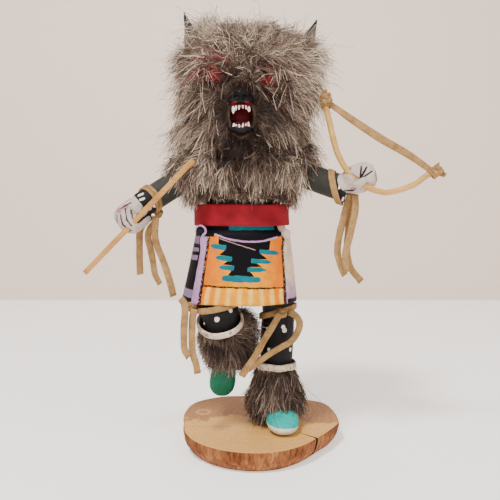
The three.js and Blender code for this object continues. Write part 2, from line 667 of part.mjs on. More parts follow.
const FINISHES = {
  wood: { color: 0xd3b184, roughness: 0.75 },
  paint: { color: 0x3f4546, roughness: 0.6 },
  blackPaint: { color: 0x17171a, roughness: 0.45 },
  fur: { color: 0x857b73, roughness: 0.95 },
  earHide: { color: 0x2a2522, roughness: 0.85 },
  cloth: { color: 0x9d1b2b, roughness: 0.7 },
  hide: { color: 0xe8953f, roughness: 0.6 },
  suede: { color: 0xbd9b72, roughness: 0.95 },
  reed: { color: 0xd9a866, roughness: 0.55 },
};

function named(name, shape, finish) {
  const material = new THREE.MeshStandardMaterial({ ...FINISHES[finish], metalness: 0 });
  const mesh = new THREE.Mesh(geometryOf(shape), material);
  mesh.name = name;
  return mesh;
}

const doll = new THREE.Group();
const body = figure();
const bodyRoom = figure(GAP);

doll.add(
  named("base_slab", baseSlab(), "wood"),
  named("figure", body, "paint"),
  named("head", head(), "blackPaint"),
  named("arm_right", cutAll(rightArm(), [bodyRoom, reed(GAP)]), "paint"),
  named("arm_left", cutAll(leftArm(), [bodyRoom, stave(GAP)]), "paint"),
  named("ear_right", ear(-1), "earHide"),
  named("ear_left", ear(1), "earHide"),
  named("fur_hood", furHood(), "fur"),
  named("fur_mantle", furMantle(), "fur"),
  named("sash", sash(), "cloth"),
  named("kilt", kilt(), "hide"),
  named("leg_fur_right", legFurRight(), "fur"),
  named("leg_fur_left", legFurLeft(), "fur"),
  named("reed", reed(), "reed"),
  named("bow_stave", stave(), "reed"),
  named("bow_lashing_top", lashing(TOP_LASHING), "suede"),
  named("bow_lashing_low", lashing(LOW_LASHING), "suede"),
  named("bow_string", strand(STRING_PATH, LACE_WIDE, LACE_THICK), "suede"),
);

for (const [name, shape] of Object.entries(TIES)) {
  doll.add(named(name, tie(shape), "suede"));
}
for (const [name, route] of Object.entries(LACES)) {
  doll.add(named(name, strand(route, LACE_WIDE, LACE_THICK, { steps: LACE_STEPS }), "suede"));
}

export default doll;
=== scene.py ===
"""Wolf kachina doll: carved and painted wood dressed in fur, a sash, a painted kilt and suede.

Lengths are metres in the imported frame, +Z up, and the doll faces -Y. Shape tables are in
millimetres, because the real pieces are cut by them, and are scaled once by MM.
"""
import math
from functools import partial, reduce

import bmesh
import bpy
import numpy as np
from bpy.props import FloatProperty, FloatVectorProperty, IntProperty, PointerProperty
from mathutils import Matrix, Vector, noise


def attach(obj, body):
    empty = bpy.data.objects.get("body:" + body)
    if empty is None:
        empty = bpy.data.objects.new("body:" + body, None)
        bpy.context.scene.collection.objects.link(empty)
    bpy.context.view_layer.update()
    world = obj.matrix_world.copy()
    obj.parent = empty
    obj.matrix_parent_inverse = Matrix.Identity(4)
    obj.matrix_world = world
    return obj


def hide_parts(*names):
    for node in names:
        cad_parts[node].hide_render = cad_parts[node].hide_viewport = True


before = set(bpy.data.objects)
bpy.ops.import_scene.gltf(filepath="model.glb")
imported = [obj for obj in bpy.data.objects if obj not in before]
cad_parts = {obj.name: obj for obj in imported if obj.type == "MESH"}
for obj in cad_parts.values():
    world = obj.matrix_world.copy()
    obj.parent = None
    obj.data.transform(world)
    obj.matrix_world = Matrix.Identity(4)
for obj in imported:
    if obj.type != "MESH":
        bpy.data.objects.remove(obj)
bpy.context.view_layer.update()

bl_info = {
    "name": "Kachina Doll Dresser",
    "version": (1, 0, 0),
    "blender": (4, 5, 0),
    "location": "View3D > Sidebar > Doll",
    "description": "Builds the fur, paint, cloth and laces of a carved wolf kachina doll",
    "category": "Object",
}

MM = 0.001
ROOT = "root"
# Settings that many nodes share.
BLEND = {"data_type": "RGBA"}
TINT = {"data_type": "RGBA", "blend_type": "MULTIPLY"}
FLOAT, VECTOR = {"data_type": "FLOAT"}, {"data_type": "FLOAT_VECTOR"}

# ------------------------------------------------------------------ shape tables, in millimetres

HEAD_X = -10.4
WAIST_X, WAIST_Y = -11.2, -1.0
SASH_LOW, SASH_HIGH = 121.4, 132.6
KILT_HEM, KILT_TOP = 81.3, 123.5
SLAB_RADII = (43.4, 46.5, 50.6, 46.5, 45.6, 46.2, 50.4, 52, 47.6, 43.4, 43.6, 43.4, 42.2, 41,
              39.6, 37.6, 36.2, 38)
SLAB_THICK = 11.5
SOLE = 11.85
BOW_Y = -19

# Routes of the free lace ends, each from its knot down to its cut end.
LACES = {
    "lace_wrist_right_1": ((-59.2, -5.2, 126.4), (-63, -5.2, 122.8), (-65.4, -5.6, 118.4),
                           (-65.5, -6.6, 112.6), (-65.5, -7, 104.6), (-65.3, -7, 95.4)),
    "lace_wrist_right_2": ((-55.4, -14.2, 126.4), (-55.6, -14.4, 122.4), (-55.8, -14.4, 116.4),
                           (-54.8, -14.2, 110.8), (-51.7, -14, 102.9), (-48.7, -14, 93.4),
                           (-46.6, -14, 84.9)),
    "lace_wrist_right_3": ((-55.8, -10.6, 123.4), (-58.8, -10.6, 120), (-60.2, -10.6, 115.6),
                           (-58.9, -10.6, 109), (-57.6, -10.6, 101.6), (-56.7, -10.6, 95.7),
                           (-54.3, -10.6, 90.6)),
    "lace_wrist_left_1": ((45.7, -13, 137.6), (43.7, -13.4, 130.4), (41.7, -13.4, 122),
                          (39.9, -13.4, 113.6), (39.6, -13.4, 106.8), (41.2, -13.4, 101),
                          (43.4, -13.4, 95.8)),
    "lace_wrist_left_2": ((48.1, -15, 137.6), (48.1, -16.4, 130.3), (46.6, -16.6, 122),
                          (44.8, -16.6, 114.1), (43.3, -16.6, 107.9), (43.2, -16.6, 102.7),
                          (43.9, -16.6, 97.7)),
    "lace_wrist_left_3": ((46.2, -10.4, 136), (45.9, -10.2, 126), (45.5, -10.2, 117),
                          (45.1, -10.2, 108.5), (46.2, -10.2, 101.1), (48.9, -10.2, 96.3),
                          (52.8, -10.2, 92.2)),
    "lace_knee_right_1": ((-41, -27, 85.1), (-39, -28.4, 82.4), (-38.8, -28.8, 77.7),
                          (-39.3, -28.4, 71.5), (-39.5, -28, 64.9), (-39.2, -27.6, 59.2),
                          (-37, -27.4, 55.7)),
    "lace_knee_right_2": ((-34.2, -26.9, 79.8), (-35, -26.9, 76.6), (-35.4, -26.8, 72.4),
                          (-35.6, -26.6, 64.3), (-35.3, -26.4, 57.2), (-33.7, -26, 51.5),
                          (-33, -25.4, 47)),
    "lace_knee_left_1": ((9.4, -14.2, 75), (6.1, -14.6, 69.5), (0.9, -15.2, 60.9),
                         (-3.4, -15.8, 53.2), (-7.3, -16.8, 47.7), (-10.6, -17.6, 42.8)),
    "lace_knee_left_2": ((14.5, -8.6, 75), (17.8, -9.8, 73.7), (20.2, -10.2, 69.8),
                         (19.3, -10.6, 65), (15.9, -11.2, 60), (10, -12.6, 56.9),
                         (3.3, -13.6, 53), (-3.4, -14.8, 48.4), (-7.4, -15.6, 45.8)),
}
BOWSTRING = ((33.6, -19.6, 183.2), (38.4, -19.6, 179.6), (45.8, -19.6, 174.4),
             (59.7, -19.8, 166), (72, -19.6, 158.8), (84.4, -19.6, 150.2), (88.2, -19.6, 148.6))
STAVE = ((31.2, BOW_Y, 188), (32.4, BOW_Y, 179.8), (34.1, BOW_Y, 173.3), (36.7, BOW_Y, 162.8),
         (39.1, BOW_Y, 156.3), (42.9, BOW_Y - 0.5, 149.9), (47, BOW_Y - 2.5, 145),
         (51.2, BOW_Y - 4.4, 141.9), (57.6, BOW_Y - 3.6, 139.1), (65, BOW_Y - 1.6, 138.6),
         (76.6, BOW_Y - 0.4, 142.1), (83.1, BOW_Y, 146.6), (90.4, BOW_Y, 150.9))
REED = ((-33.8, -30.5, 153.9), (-92.5, -14.5, 97))
# Gums: height, the way the teeth point, front, half width and length of the corner teeth.
UPPER_GUM = (176.9, -1, -46.9, 3.8, 3.0)
LOWER_GUM = (166.9, 1, -44.8, 3.6, 2.9)
# Ties: middle, direction of the limb, inner radius, normal of the loop's plane, knot, its size
# and the strands' places along the limb.
TIES = {
    "wrist_tie_right": ((-58.4, -12.3, 135.2), (-0.79, -0.26, -0.55), 6.5,
                        (-0.79, -0.62, -0.55), (-54.9, -8.2, 128), 0.55, (-1.0, 0.9)),
    "wrist_tie_left": ((38.6, -11.5, 141.6), (0.88, -0.29, -0.34), 6.9,
                       (1.1, -0.36, 0.26), (46.9, -12.4, 136.8), 0.7, (-0.9, 0.9)),
    "knee_tie_right": ((-22.4, -15.2, 80.5), (0, 0.45, 0.9), 11.1, (-0.2, -0.04, 1),
                       (-36.2, -22, 80.4), 0.8, (0,)),
    "knee_tie_left": ((9.2, 1.9, 74), (0.04, 0, 1), 9.2, (-0.3, 0.1, 1), (10.4, -10.2, 74.6),
                      0.8, (0,)),
}

# ------------------------------------------------------------------ settings a user would change


def linear(code):
    """An sRGB hex colour as linear red, green, blue and alpha."""
    parts = [int(code[i:i + 2], 16) / 255 for i in (1, 3, 5)]
    return (*[c / 12.92 if c <= 0.04045 else ((c + 0.055) / 1.055) ** 2.4 for c in parts], 1.0)


def shade(colour, share):
    """A colour made darker or paler."""
    return tuple(min(1, c * share) for c in colour[:3]) + (1,)


def colour_setting(name, description, code):
    """A colour that a user can change."""
    return FloatVectorProperty(name=name, description=description, subtype="COLOR", size=4,
                               min=0, max=1, default=linear(code))


def length_setting(name, description, usual, low, high):
    """A length that a user can change, given in millimetres and kept in metres."""
    return FloatProperty(name=name, description=description, default=usual * MM, min=low * MM,
                         max=high * MM, unit="LENGTH")


class DollSizes(bpy.types.PropertyGroup):
    lace_width: length_setting("Lace Width", "Width of the flat suede lace", 3.6, 2, 5)
    lace_thickness: length_setting("Lace Thickness", "Thickness of the suede lace", 1.1, 0.5, 2)
    reed_width: length_setting("Reed Width", "Width of the split reed", 2.8, 2, 5)
    stave_width: length_setting("Bow Width", "Thickness of the bow's twig", 3.0, 2, 5)
    guard_hair: length_setting("Guard Hair Length", "Length of the long pale hairs", 13, 5, 25)
    under_hair: length_setting("Underfur Length", "Length of the short dense hairs", 8, 3, 15)
    hair_width: length_setting("Hair Width", "Width of one drawn wisp of hair", 0.17, 0.1, 1)
    hair_seed: IntProperty(
        name="Hair Seed", description="Seed for where the hairs grow", default=11, min=0, max=999)


class DollColours(bpy.types.PropertyGroup):
    limb: colour_setting("Limb Paint", "Slate paint of arms and thighs", "#302f2a")
    shoe: colour_setting("Shoe Paint", "Turquoise of the standing shoe", "#00988e")
    # The lifted shoe is the same turquoise as the standing one: this darker green is painted shade
    # on it.
    lifted_shoe: colour_setting("Lifted Shoe Paint", "Green of the lifted shoe", "#15634a")
    sash: colour_setting("Sash Cloth", "Red of the sash", "#7d0a19")
    suede: colour_setting("Suede", "Tan of the laces", "#96744a")
    panel: colour_setting("Kilt Panel", "Orange of the kilt's panel", "#d88b00")
    fur_root: colour_setting("Fur Root", "Darkest hair, at the skin", "#231b18")
    fur_tip: colour_setting("Fur Tip", "Palest guard hair", "#ead9c0")


# ------------------------------------------------------------------ node and mesh helpers


def value_of(given):
    """What a socket takes: a node's first output in use, a hex colour as linear, or a value."""
    if isinstance(given, bpy.types.Node):
        return next(s for s in given.outputs if s.enabled)
    return linear(given) if isinstance(given, str) and given.startswith("#") else given


def add(tree, kind, settings=None, *inputs, **named):
    """Adds a node, whose kind is named without its family.

    Inputs go to its sockets in use, in order, and None skips one. Named inputs go by the
    socket's name with _ for a space. Settings that are one word are the operation, and "stops"
    and "points" fill a colour ramp and a float curve from the start to the end.
    """
    family = next(f for f in ("ShaderNode", "GeometryNode", "FunctionNode")
                  if hasattr(bpy.types, f + kind))
    node = tree.nodes.new(family + kind)
    settings = {"operation": settings} if isinstance(settings, str) else dict(settings or {})
    stops, points = settings.pop("stops", ()), settings.pop("points", ())
    for key, value in settings.items():
        setattr(node, key, value)
    # The two ends are there from the start, and the others are set between them.
    for i, (place, colour) in enumerate([*stops[:1], *stops[-1:], *stops[1:-1]]):
        ramp = node.color_ramp.elements
        element = ramp[i] if i < 2 else ramp.new(place)
        element.position, element.color = place, value_of(colour)
    for i, place in enumerate([*points[:1], *points[-1:], *points[1:-1]]):
        curve = node.mapping.curves[0].points
        point = curve[i] if i < 2 else curve.new(*place)
        point.location, point.handle_type = place, "VECTOR"
    if points:
        node.mapping.update()
    used = [s for s in node.inputs if s.enabled]
    wanted = [(used[i], value) for i, value in enumerate(inputs) if value is not None]
    wanted += [(next(s for s in used if s.name == key.replace("_", " ")), value)
               for key, value in named.items()]
    for socket, value in wanted:
        value = value_of(value)
        if isinstance(value, bpy.types.NodeSocket):
            tree.links.new(value, socket)
        else:
            socket.default_value = value
    return node


def finish(name, roughness, **sockets):
    """A new material, what adds its nodes, and its shader with its fixed values set directly."""
    material = bpy.data.materials.new(name)
    material.use_nodes = True
    shader = material.node_tree.nodes["Principled BSDF"]
    for key, value in {"Roughness": roughness, **sockets}.items():
        shader.inputs[key.replace("_", " ")].default_value = value
    return material, partial(add, material.node_tree), shader


def dress(shader, colour, height=None, strength=0.0, depth=0.0):
    """Joins a colour, and a relief `depth` millimetres deep, to a shader."""
    tree = shader.id_data
    tree.links.new(value_of(colour), shader.inputs["Base Color"])
    if height is not None:
        bump = add(tree, "Bump", {}, Strength=strength, Distance=depth * MM, Height=height)
        tree.links.new(bump.outputs[0], shader.inputs["Normal"])


def mesh_of(name, work):
    """Ends the work on a mesh and gives it back."""
    mesh = bpy.data.meshes.new(name)
    work.to_mesh(mesh)
    work.free()
    return mesh


def outwards(mesh):
    """Points every face of a closed mesh outwards and shades it smooth."""
    work = bmesh.new()
    work.from_mesh(mesh)
    bmesh.ops.recalc_face_normals(work, faces=work.faces)
    for face in work.faces:
        face.smooth = True
    work.to_mesh(mesh)
    work.free()
    return mesh


def surface(name, grid, loop=False, caps=False, uv=None):
    """A mesh over closed rings of points in millimetres.

    The last ring meets the first with `loop`, and `caps` closes both ends. `uv` gives a place
    on the cut pattern for each ring and column of a loop, one more column than the ring has.
    """
    rows, columns = grid.shape[:2]
    faces, corners = [], []
    for i in range(rows if loop else rows - 1):
        for j in range(columns):
            corners.append([(i, j), (i, j + 1), ((i + 1) % rows, j + 1), ((i + 1) % rows, j)])
            faces.append([row * columns + column % columns for row, column in corners[-1]])
    if caps:
        faces += [range(columns)[::-1], range((rows - 1) * columns, rows * columns)]
    mesh = bpy.data.meshes.new(name)
    mesh.from_pydata((grid.reshape(-1, 3) * MM).tolist(), [], [tuple(face) for face in faces])
    if uv is not None:
        places = [uv[i][j] for face in corners for i, j in face]
        mesh.uv_layers.new(name="cut").data.foreach_set("uv", np.array(places, dtype=float).ravel())
    return outwards(mesh)


def ball(name, across, up, shape):
    """A ball of radius 1 whose corners go to `shape` of their places, in millimetres."""
    work = bmesh.new()
    bmesh.ops.create_uvsphere(work, u_segments=across, v_segments=up, radius=1)
    for corner in work.verts:
        corner.co = Vector(shape(*corner.co)) * MM
    return outwards(mesh_of(name, work))


def joined(name, meshes):
    """Several meshes as one."""
    work = bmesh.new()
    for mesh in meshes:
        work.from_mesh(mesh)
    return mesh_of(name, work)


def put(name, data):
    """Puts a new object in the scene."""
    thing = bpy.data.objects.new(name, data)
    bpy.context.scene.collection.objects.link(thing)
    return thing


def piece(name, mesh, materials, slot, *stands_for):
    """Puts a finished mesh on the doll as one piece and hides the solids it stands for."""
    for item in materials:
        mesh.materials.append(item)
    thing = put(name, mesh)
    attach(thing, ROOT)
    if stands_for:
        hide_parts(*stands_for)
    return thing


def settled(thing):
    """Turns a thing with modifiers into a plain mesh and gives that mesh back."""
    graph = bpy.context.evaluated_depsgraph_get()
    mesh = bpy.data.meshes.new_from_object(thing.evaluated_get(graph), depsgraph=graph)
    bpy.data.objects.remove(thing)
    return mesh


def worn_copy(node, facet, passes):
    """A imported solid's copy, its corners merged and its flat facets worn round by `passes`."""
    work = bmesh.new()
    work.from_mesh(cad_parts[node].data)
    bmesh.ops.remove_doubles(work, verts=work.verts, dist=1e-6)
    thing = put(node + "_copy", mesh_of(node + "_copy", work))
    remesh = thing.modifiers.new("even faces", "REMESH")
    remesh.mode, remesh.voxel_size = "VOXEL", facet * MM
    thing.modifiers.new("wear", "SMOOTH").iterations = passes
    return outwards(settled(thing))


def corners_of(mesh):
    """Where a mesh's corners are in millimetres, and which way they look."""
    found = []
    for kind in ("co", "normal"):
        values = np.empty(len(mesh.vertices) * 3)
        mesh.vertices.foreach_get(kind, values)
        found.append(values.reshape(-1, 3))
    return found[0] / MM, found[1]


def move(mesh, places):
    """Moves the corners of a mesh to places in millimetres."""
    mesh.vertices.foreach_set("co", (places * MM).astype(np.float32).ravel())
    mesh.update()


def sink(mesh, depth):
    """Moves each corner of a mesh inwards by its own depth in millimetres."""
    co, no = corners_of(mesh)
    move(mesh, co - no * np.asarray(depth)[:, None])


def mark(mesh, **marks):
    """Stores numbers or directions at the corners of a mesh, one for each or one for all."""
    for name, values in marks.items():
        values = np.asarray(values, dtype=np.float32)
        if values.ndim == 0:
            values = np.full(len(mesh.vertices), values)
        kind, key = ("FLOAT", "value") if values.ndim == 1 else ("FLOAT_VECTOR", "vector")
        mesh.attributes.new(name, kind, "POINT").data.foreach_set(key, values.ravel())
    return mesh


def unit(vectors):
    """Directions of vectors, each with the length 1."""
    vectors = np.asarray(vectors, dtype=float)
    return vectors / np.maximum(np.linalg.norm(vectors, axis=-1, keepdims=True), 1e-9)


@np.vectorize
def ripple(x, y, z):
    """Smooth noise from about -1 to 1, at one place or at each of many."""
    return noise.noise((x, y, z))


def from_balls(places, balls):
    """Distance in millimetres from the nearest of some balls, below zero inside."""
    return np.min([np.linalg.norm(places - np.array(centre), axis=1) - radius
                   for *centre, radius in balls], axis=0)


def from_strokes(places, strokes):
    """Distance in millimetres from the nearest of some straight strokes with round ends.

    A stroke is its ends and its half width. Ends with only x and z give one that is seen square
    on from the front and the back.
    """
    found = []
    for start, end, radius in strokes:
        flat = places[:, [0, 2]] if len(start) == 2 else places
        start, run = np.array(start), np.array(end) - np.array(start)
        share = np.clip((flat - start) @ run / (run @ run), 0, 1)
        found.append(np.linalg.norm(flat - start - share[:, None] * run, axis=1) - radius)
    return np.min(found, axis=0)


def even_path(points, count):
    """`count` points at equal steps along a smooth curve through `points`."""
    given = np.array(points, dtype=float)
    given = np.vstack([2 * given[0] - given[1], given, 2 * given[-1] - given[-2]])
    spans = len(points) - 1
    share = np.linspace(0, spans, 60 * spans + 1)
    i = np.minimum(share.astype(int), spans - 1)
    f = (share - i)[:, None]
    a, b, c, d = (given[i + k] for k in range(4))
    fine = 0.5 * (2 * b + (c - a) * f + (2 * a - 5 * b + 4 * c - d) * f ** 2
                  + (3 * b - a - 3 * c + d) * f ** 3)
    run = np.concatenate([[0], np.cumsum(np.linalg.norm(np.diff(fine, axis=0), axis=1))])
    steps = np.linspace(0, run[-1], count)
    return np.column_stack([np.interp(steps, run, fine[:, k]) for k in range(3)])


def circle(count):
    """Angles at equal steps once round."""
    return np.arange(count) * 2 * math.pi / count


def oval(angle, square=2.0):
    """Across and up of a ring at an angle: round at 2 and squarer above."""
    return [np.sign(f(angle)) * np.abs(f(angle)) ** (2 / square) for f in (np.cos, np.sin)]


def spokes(run, hint, angle):
    """Directions square to `run` at each angle round it, the first square to `hint` as well."""
    wide = unit(np.cross(run, hint))
    return np.outer(np.cos(angle), wide) + np.outer(np.sin(angle), np.cross(run, wide))


def between_rows(rows, count):
    """A table's columns at `count` even steps from its first row to its last."""
    given = np.array(rows, dtype=float)
    share = np.linspace(0, len(given) - 1, count)
    return [np.interp(share, np.arange(len(given)), column) for column in given.T]


def swept(path, wide, thick, face, square=4.0, sides=10, closed=False, turn=0.0):
    """Rings of points along a path: a flat or round strand whose flat side looks along `face`.

    The width and thickness are one number or one for each point, and `turn` twists the strand.
    """
    ahead = np.roll(path, -1, axis=0) - np.roll(path, 1, axis=0)
    if not closed:
        ahead[0], ahead[-1] = path[1] - path[0], path[-1] - path[-2]
    run = unit(ahead)
    across = unit(np.cross(run, np.broadcast_to(face, path.shape)))
    out = np.cross(across, run)
    twist = np.linspace(0, turn, len(path))[:, None]
    across, out = (across * np.cos(twist) + out * np.sin(twist),
                   out * np.cos(twist) - across * np.sin(twist))
    u, v = oval((np.arange(sides) + 0.5) * 2 * math.pi / sides, square)
    wide, thick = (np.broadcast_to(size, len(path))[:, None] / 2 for size in (wide, thick))
    return (path[:, None] + across[:, None] * (u * wide)[..., None]
            + out[:, None] * (v * thick)[..., None])


def lace_rings(path, width, thick, seed, turn=0.0):
    """A cut strip of suede: its edges wander a little, as a hand-cut strip's do."""
    wander = 1 + 0.09 * ripple(np.arange(len(path)) * 0.35, seed * 3.7, 0)
    return swept(path, wander * width, wander * thick, (0, -1, 0), turn=turn)


def rings_of(stations, sides, rows):
    """Level rings through stations [x, y, z, half width, half depth] in even steps."""
    x, y, z, wide, deep = (column[:, None] for column in between_rows(stations, rows))
    u, v = oval(circle(sides))
    return np.stack([x + wide * u, y + deep * v, np.broadcast_to(z, (rows, sides))], axis=-1)


# ------------------------------------------------------------------ materials


def grain(node, place, stops, noises, share=0.55, **mapping):
    """A colour that runs through `stops` with a fine noise, and that noise by itself.

    Each noise is its scale, detail and roughness. `mapping` stretches or turns the fine one, and
    where a coarse one follows, the fine one has a `share` in the colour.
    """
    where = node("Mapping", {}, place, **mapping) if mapping else place
    fine, *coarse = [
        node("TexNoise", {}, at, Scale=scale, Detail=detail, Roughness=roughness)
        for at, (scale, detail, roughness) in zip((where, place), noises)]
    both = fine
    for other in coarse:
        both = node("Math", "MULTIPLY_ADD", fine, share,
                    node("Math", "MULTIPLY", other, 1 - share))
    return node("ValToRGB", {"stops": stops}, both), fine


def grained(name, roughness, relief, sockets, *patterns, **mapping):
    """A finish in which one grain gives both the colour and a relief (strength, millimetres)."""
    material, node, shader = finish(name, roughness, **sockets)
    place = node("TexCoord").outputs["Object"]
    tone, fine = grain(node, place, *patterns, **mapping)
    dress(shader, tone, fine if relief else None, *relief)
    return material


def suede(colour):
    """Suede, the brushed flesh side of tan hide: a dull nap, mottled where it has been handled."""
    # Nap fibres are about 0.1 mm; drawn at 0.6 mm so that they show.
    return grained("tan_suede", 1.0, (0.5, 0.25), {"Specular_IOR_Level": 0.15},
                   [(0.33, shade(colour, 0.5)), (0.5, colour), (0.68, shade(colour, 1.4))],
                   [(1600.0, 2.0, 0.7), (260.0, 3.0, 0.5)])


def pelt_ground():
    """The felted underwool seen between the hairs: dark, soft and without any gloss."""
    return grained("rabbit_underwool", 1.0, (0.8, 0.6), {"Specular_IOR_Level": 0.1},
                   [(0.3, "#35281f"), (0.8, "#6f5c4e")], [(700.0, 4.0, 0.5)],
                   Scale=(1.0, 1.0, 0.35))


def bare_hide():
    """The turned edge of the pelt: cream skin, creased across, with a little glue stain."""
    return grained("cream_skin_edge", 0.7, (0.6, 0.4), {},
                   [(0.32, "#7f6a56"), (0.5, "#c4af96"), (0.75, "#e2d3bd")], [(520.0, 4.0, 0.5)])


def bark():
    """Thin reddish bark: upright fibres with pale scuffs where the outer skin has flaked."""
    # Bark fibres about 1 mm apart.
    return grained("branch_bark", 0.85, (0.9, 0.6), {"Specular_IOR_Level": 0.2},
                   [(0.34, "#43200f"), (0.44, "#6e3a1d"), (0.55, "#8c5730"), (0.68, "#b07d4f")],
                   [(620.0, 5.0, 0.65), (90.0, 3.0, 0.5)], 0.6, Scale=(1.0, 1.0, 0.12))


def shaded_split_wood():
    """The inside of the drying split: rough, grey-brown and nearly black, darkened as painted shade
    deep in the narrow crack.
    """
    return grained("painted_shade_split", 1.0, (), {"Specular_IOR_Level": 0.1},
                   [(0.3, "#120905"), (0.8, "#3a2214")], [(800.0, 2.0, 0.5)])


def peeled_reed(name, pale, dark, lean):
    """Peeled reed: satin, straw coloured, with fine fibres running down its length."""
    return grained(name, 0.45, (0.3, 0.15), {"Specular_IOR_Level": 0.45},
                   [(0.32, dark), (0.66, pale)], [(1400.0, 3.0, 0.5), (80.0, 2.0, 0.5)],
                   Rotation=(0, lean, 0), Scale=(0.08, 1.0, 1.0))


def tooth_paint():
    """White enamel on carved teeth: glossy, yellowed a little in the hollows."""
    return grained("white_tooth_paint", 0.3, (0.2, 0.1), {"Coat_Weight": 0.2},
                   [(0.3, "#cfc0b4"), (0.6, "#f4efe9")], [(600.0, 3.0, 0.5)])


def nose_enamel():
    """Black enamel on the nose pad: glossy, over small carved pores."""
    material, node, shader = finish("glossy_black_enamel", 0.35, Specular_IOR_Level=0.12)
    pore = node("TexVoronoi", {}, node("TexCoord").outputs["Object"], Scale=1500.0)
    tone = node("ValToRGB", {"stops": [(0.0, "#020202"), (1.0, "#0e0c0d")]}, pore)
    dress(shader, tone, pore, 0.35, 0.2)
    return material


def ear_hide():
    """Stiff scraped hide with short grey hair, black towards the tip."""
    material, node, shader = finish("stiff_ear_hide", 0.8)
    place = node("TexCoord").outputs["Object"]
    tone, hair = grain(node, place, [(0.35, "#2b211c"), (0.68, "#8a7768")], [(900.0, 4.0, 0.5)],
                       Scale=(1.0, 1.0, 0.3))
    height = node("SeparateXYZ", {}, place).outputs["Z"]
    mixed = node("Mix", BLEND, node("MapRange", {}, height, 0.222, 0.229), tone, "#161110")
    dress(shader, mixed, hair, 0.7, 0.3)
    return material


def stage_paint(name, code, glow):
    """Matt stage paint, lit a little from within, with hardly any cloudiness."""
    material, node, shader = finish(name + "_paint", 0.9, Emission_Color=linear(code),
                                    Emission_Strength=glow)
    cloud = node("TexNoise", {}, node("TexCoord").outputs["Object"], Scale=3.0)
    tone = node("MapRange", {}, cloud, 0.0, 1.0, 0.97, 1.02)
    dress(shader, node("Mix", TINT, 1.0, code, tone))
    return material


def brushed_paint(name, base, layers=(), roughness=0.66):
    """Acrylic brushed on carved wood: layers of paint with hand-drawn edges over a knife's facets.

    Each layer is (mark, colour): the mark is a distance in millimetres, below zero inside.
    """
    material, node, shader = finish(name, roughness, Specular_IOR_Level=0.2)
    place = node("TexCoord").outputs["Object"]
    # A brush edge wanders by about 0.15 mm.
    wander = node("Math", "MULTIPLY_ADD",
                  node("TexNoise", {}, place, Scale=420.0, Detail=2.0), 0.4, -0.2)
    colour = base
    for name_of_mark, paint in layers:
        distance = node("Attribute", {"attribute_name": name_of_mark}).outputs["Fac"]
        inside = node("MapRange", {}, node("Math", "ADD", distance, wander), 0.15, -0.15, 0.0, 1.0)
        colour = node("Mix", BLEND, inside, colour, paint)
    # Thin and thick paint: brush marks about 1 mm wide.
    stroke = node("TexNoise", {}, place, Scale=700.0, Detail=4.0)
    cloud = node("TexNoise", {}, place, Scale=110.0, Detail=3.0)
    depth = node("Math", "MULTIPLY_ADD", stroke, 0.45, node("Math", "MULTIPLY", cloud, 0.55))
    mixed = node("Mix", TINT, 1.0, colour,
                 node("MapRange", {}, depth, 0.3, 0.7, 0.72, 1.25))
    dress(shader, mixed, depth, 0.35, 0.3)
    return material


def fur_coat(colours):
    """Rabbit hair: matt, dark at the skin and banded paler towards the tip, with red dye marks.

    The hair's own map says how: across it is the tint, from black to cream and then red, and
    up it is the way from root to tip.
    """
    material, node, shader = finish("rabbit_hair", 0.72, Specular_IOR_Level=0.3)
    place = node("SeparateXYZ", {}, node("UVMap", {"uv_map": "OFBake"}))
    tint = node("ValToRGB", {"stops": [
        (0.0, "#1c1310"), (0.22, "#403028"), (0.45, "#735e50"), (0.68, "#a8917e"),
        (0.86, colours.fur_tip), (0.91, "#8c4a46"), (0.95, "#74202a")]}, place.outputs["X"])
    root = node("MapRange", {}, place.outputs["Y"], 0.0, 0.55, 0.75, 0.0)
    dress(shader, node("Mix", BLEND, root, tint, colours.fur_root))
    return material


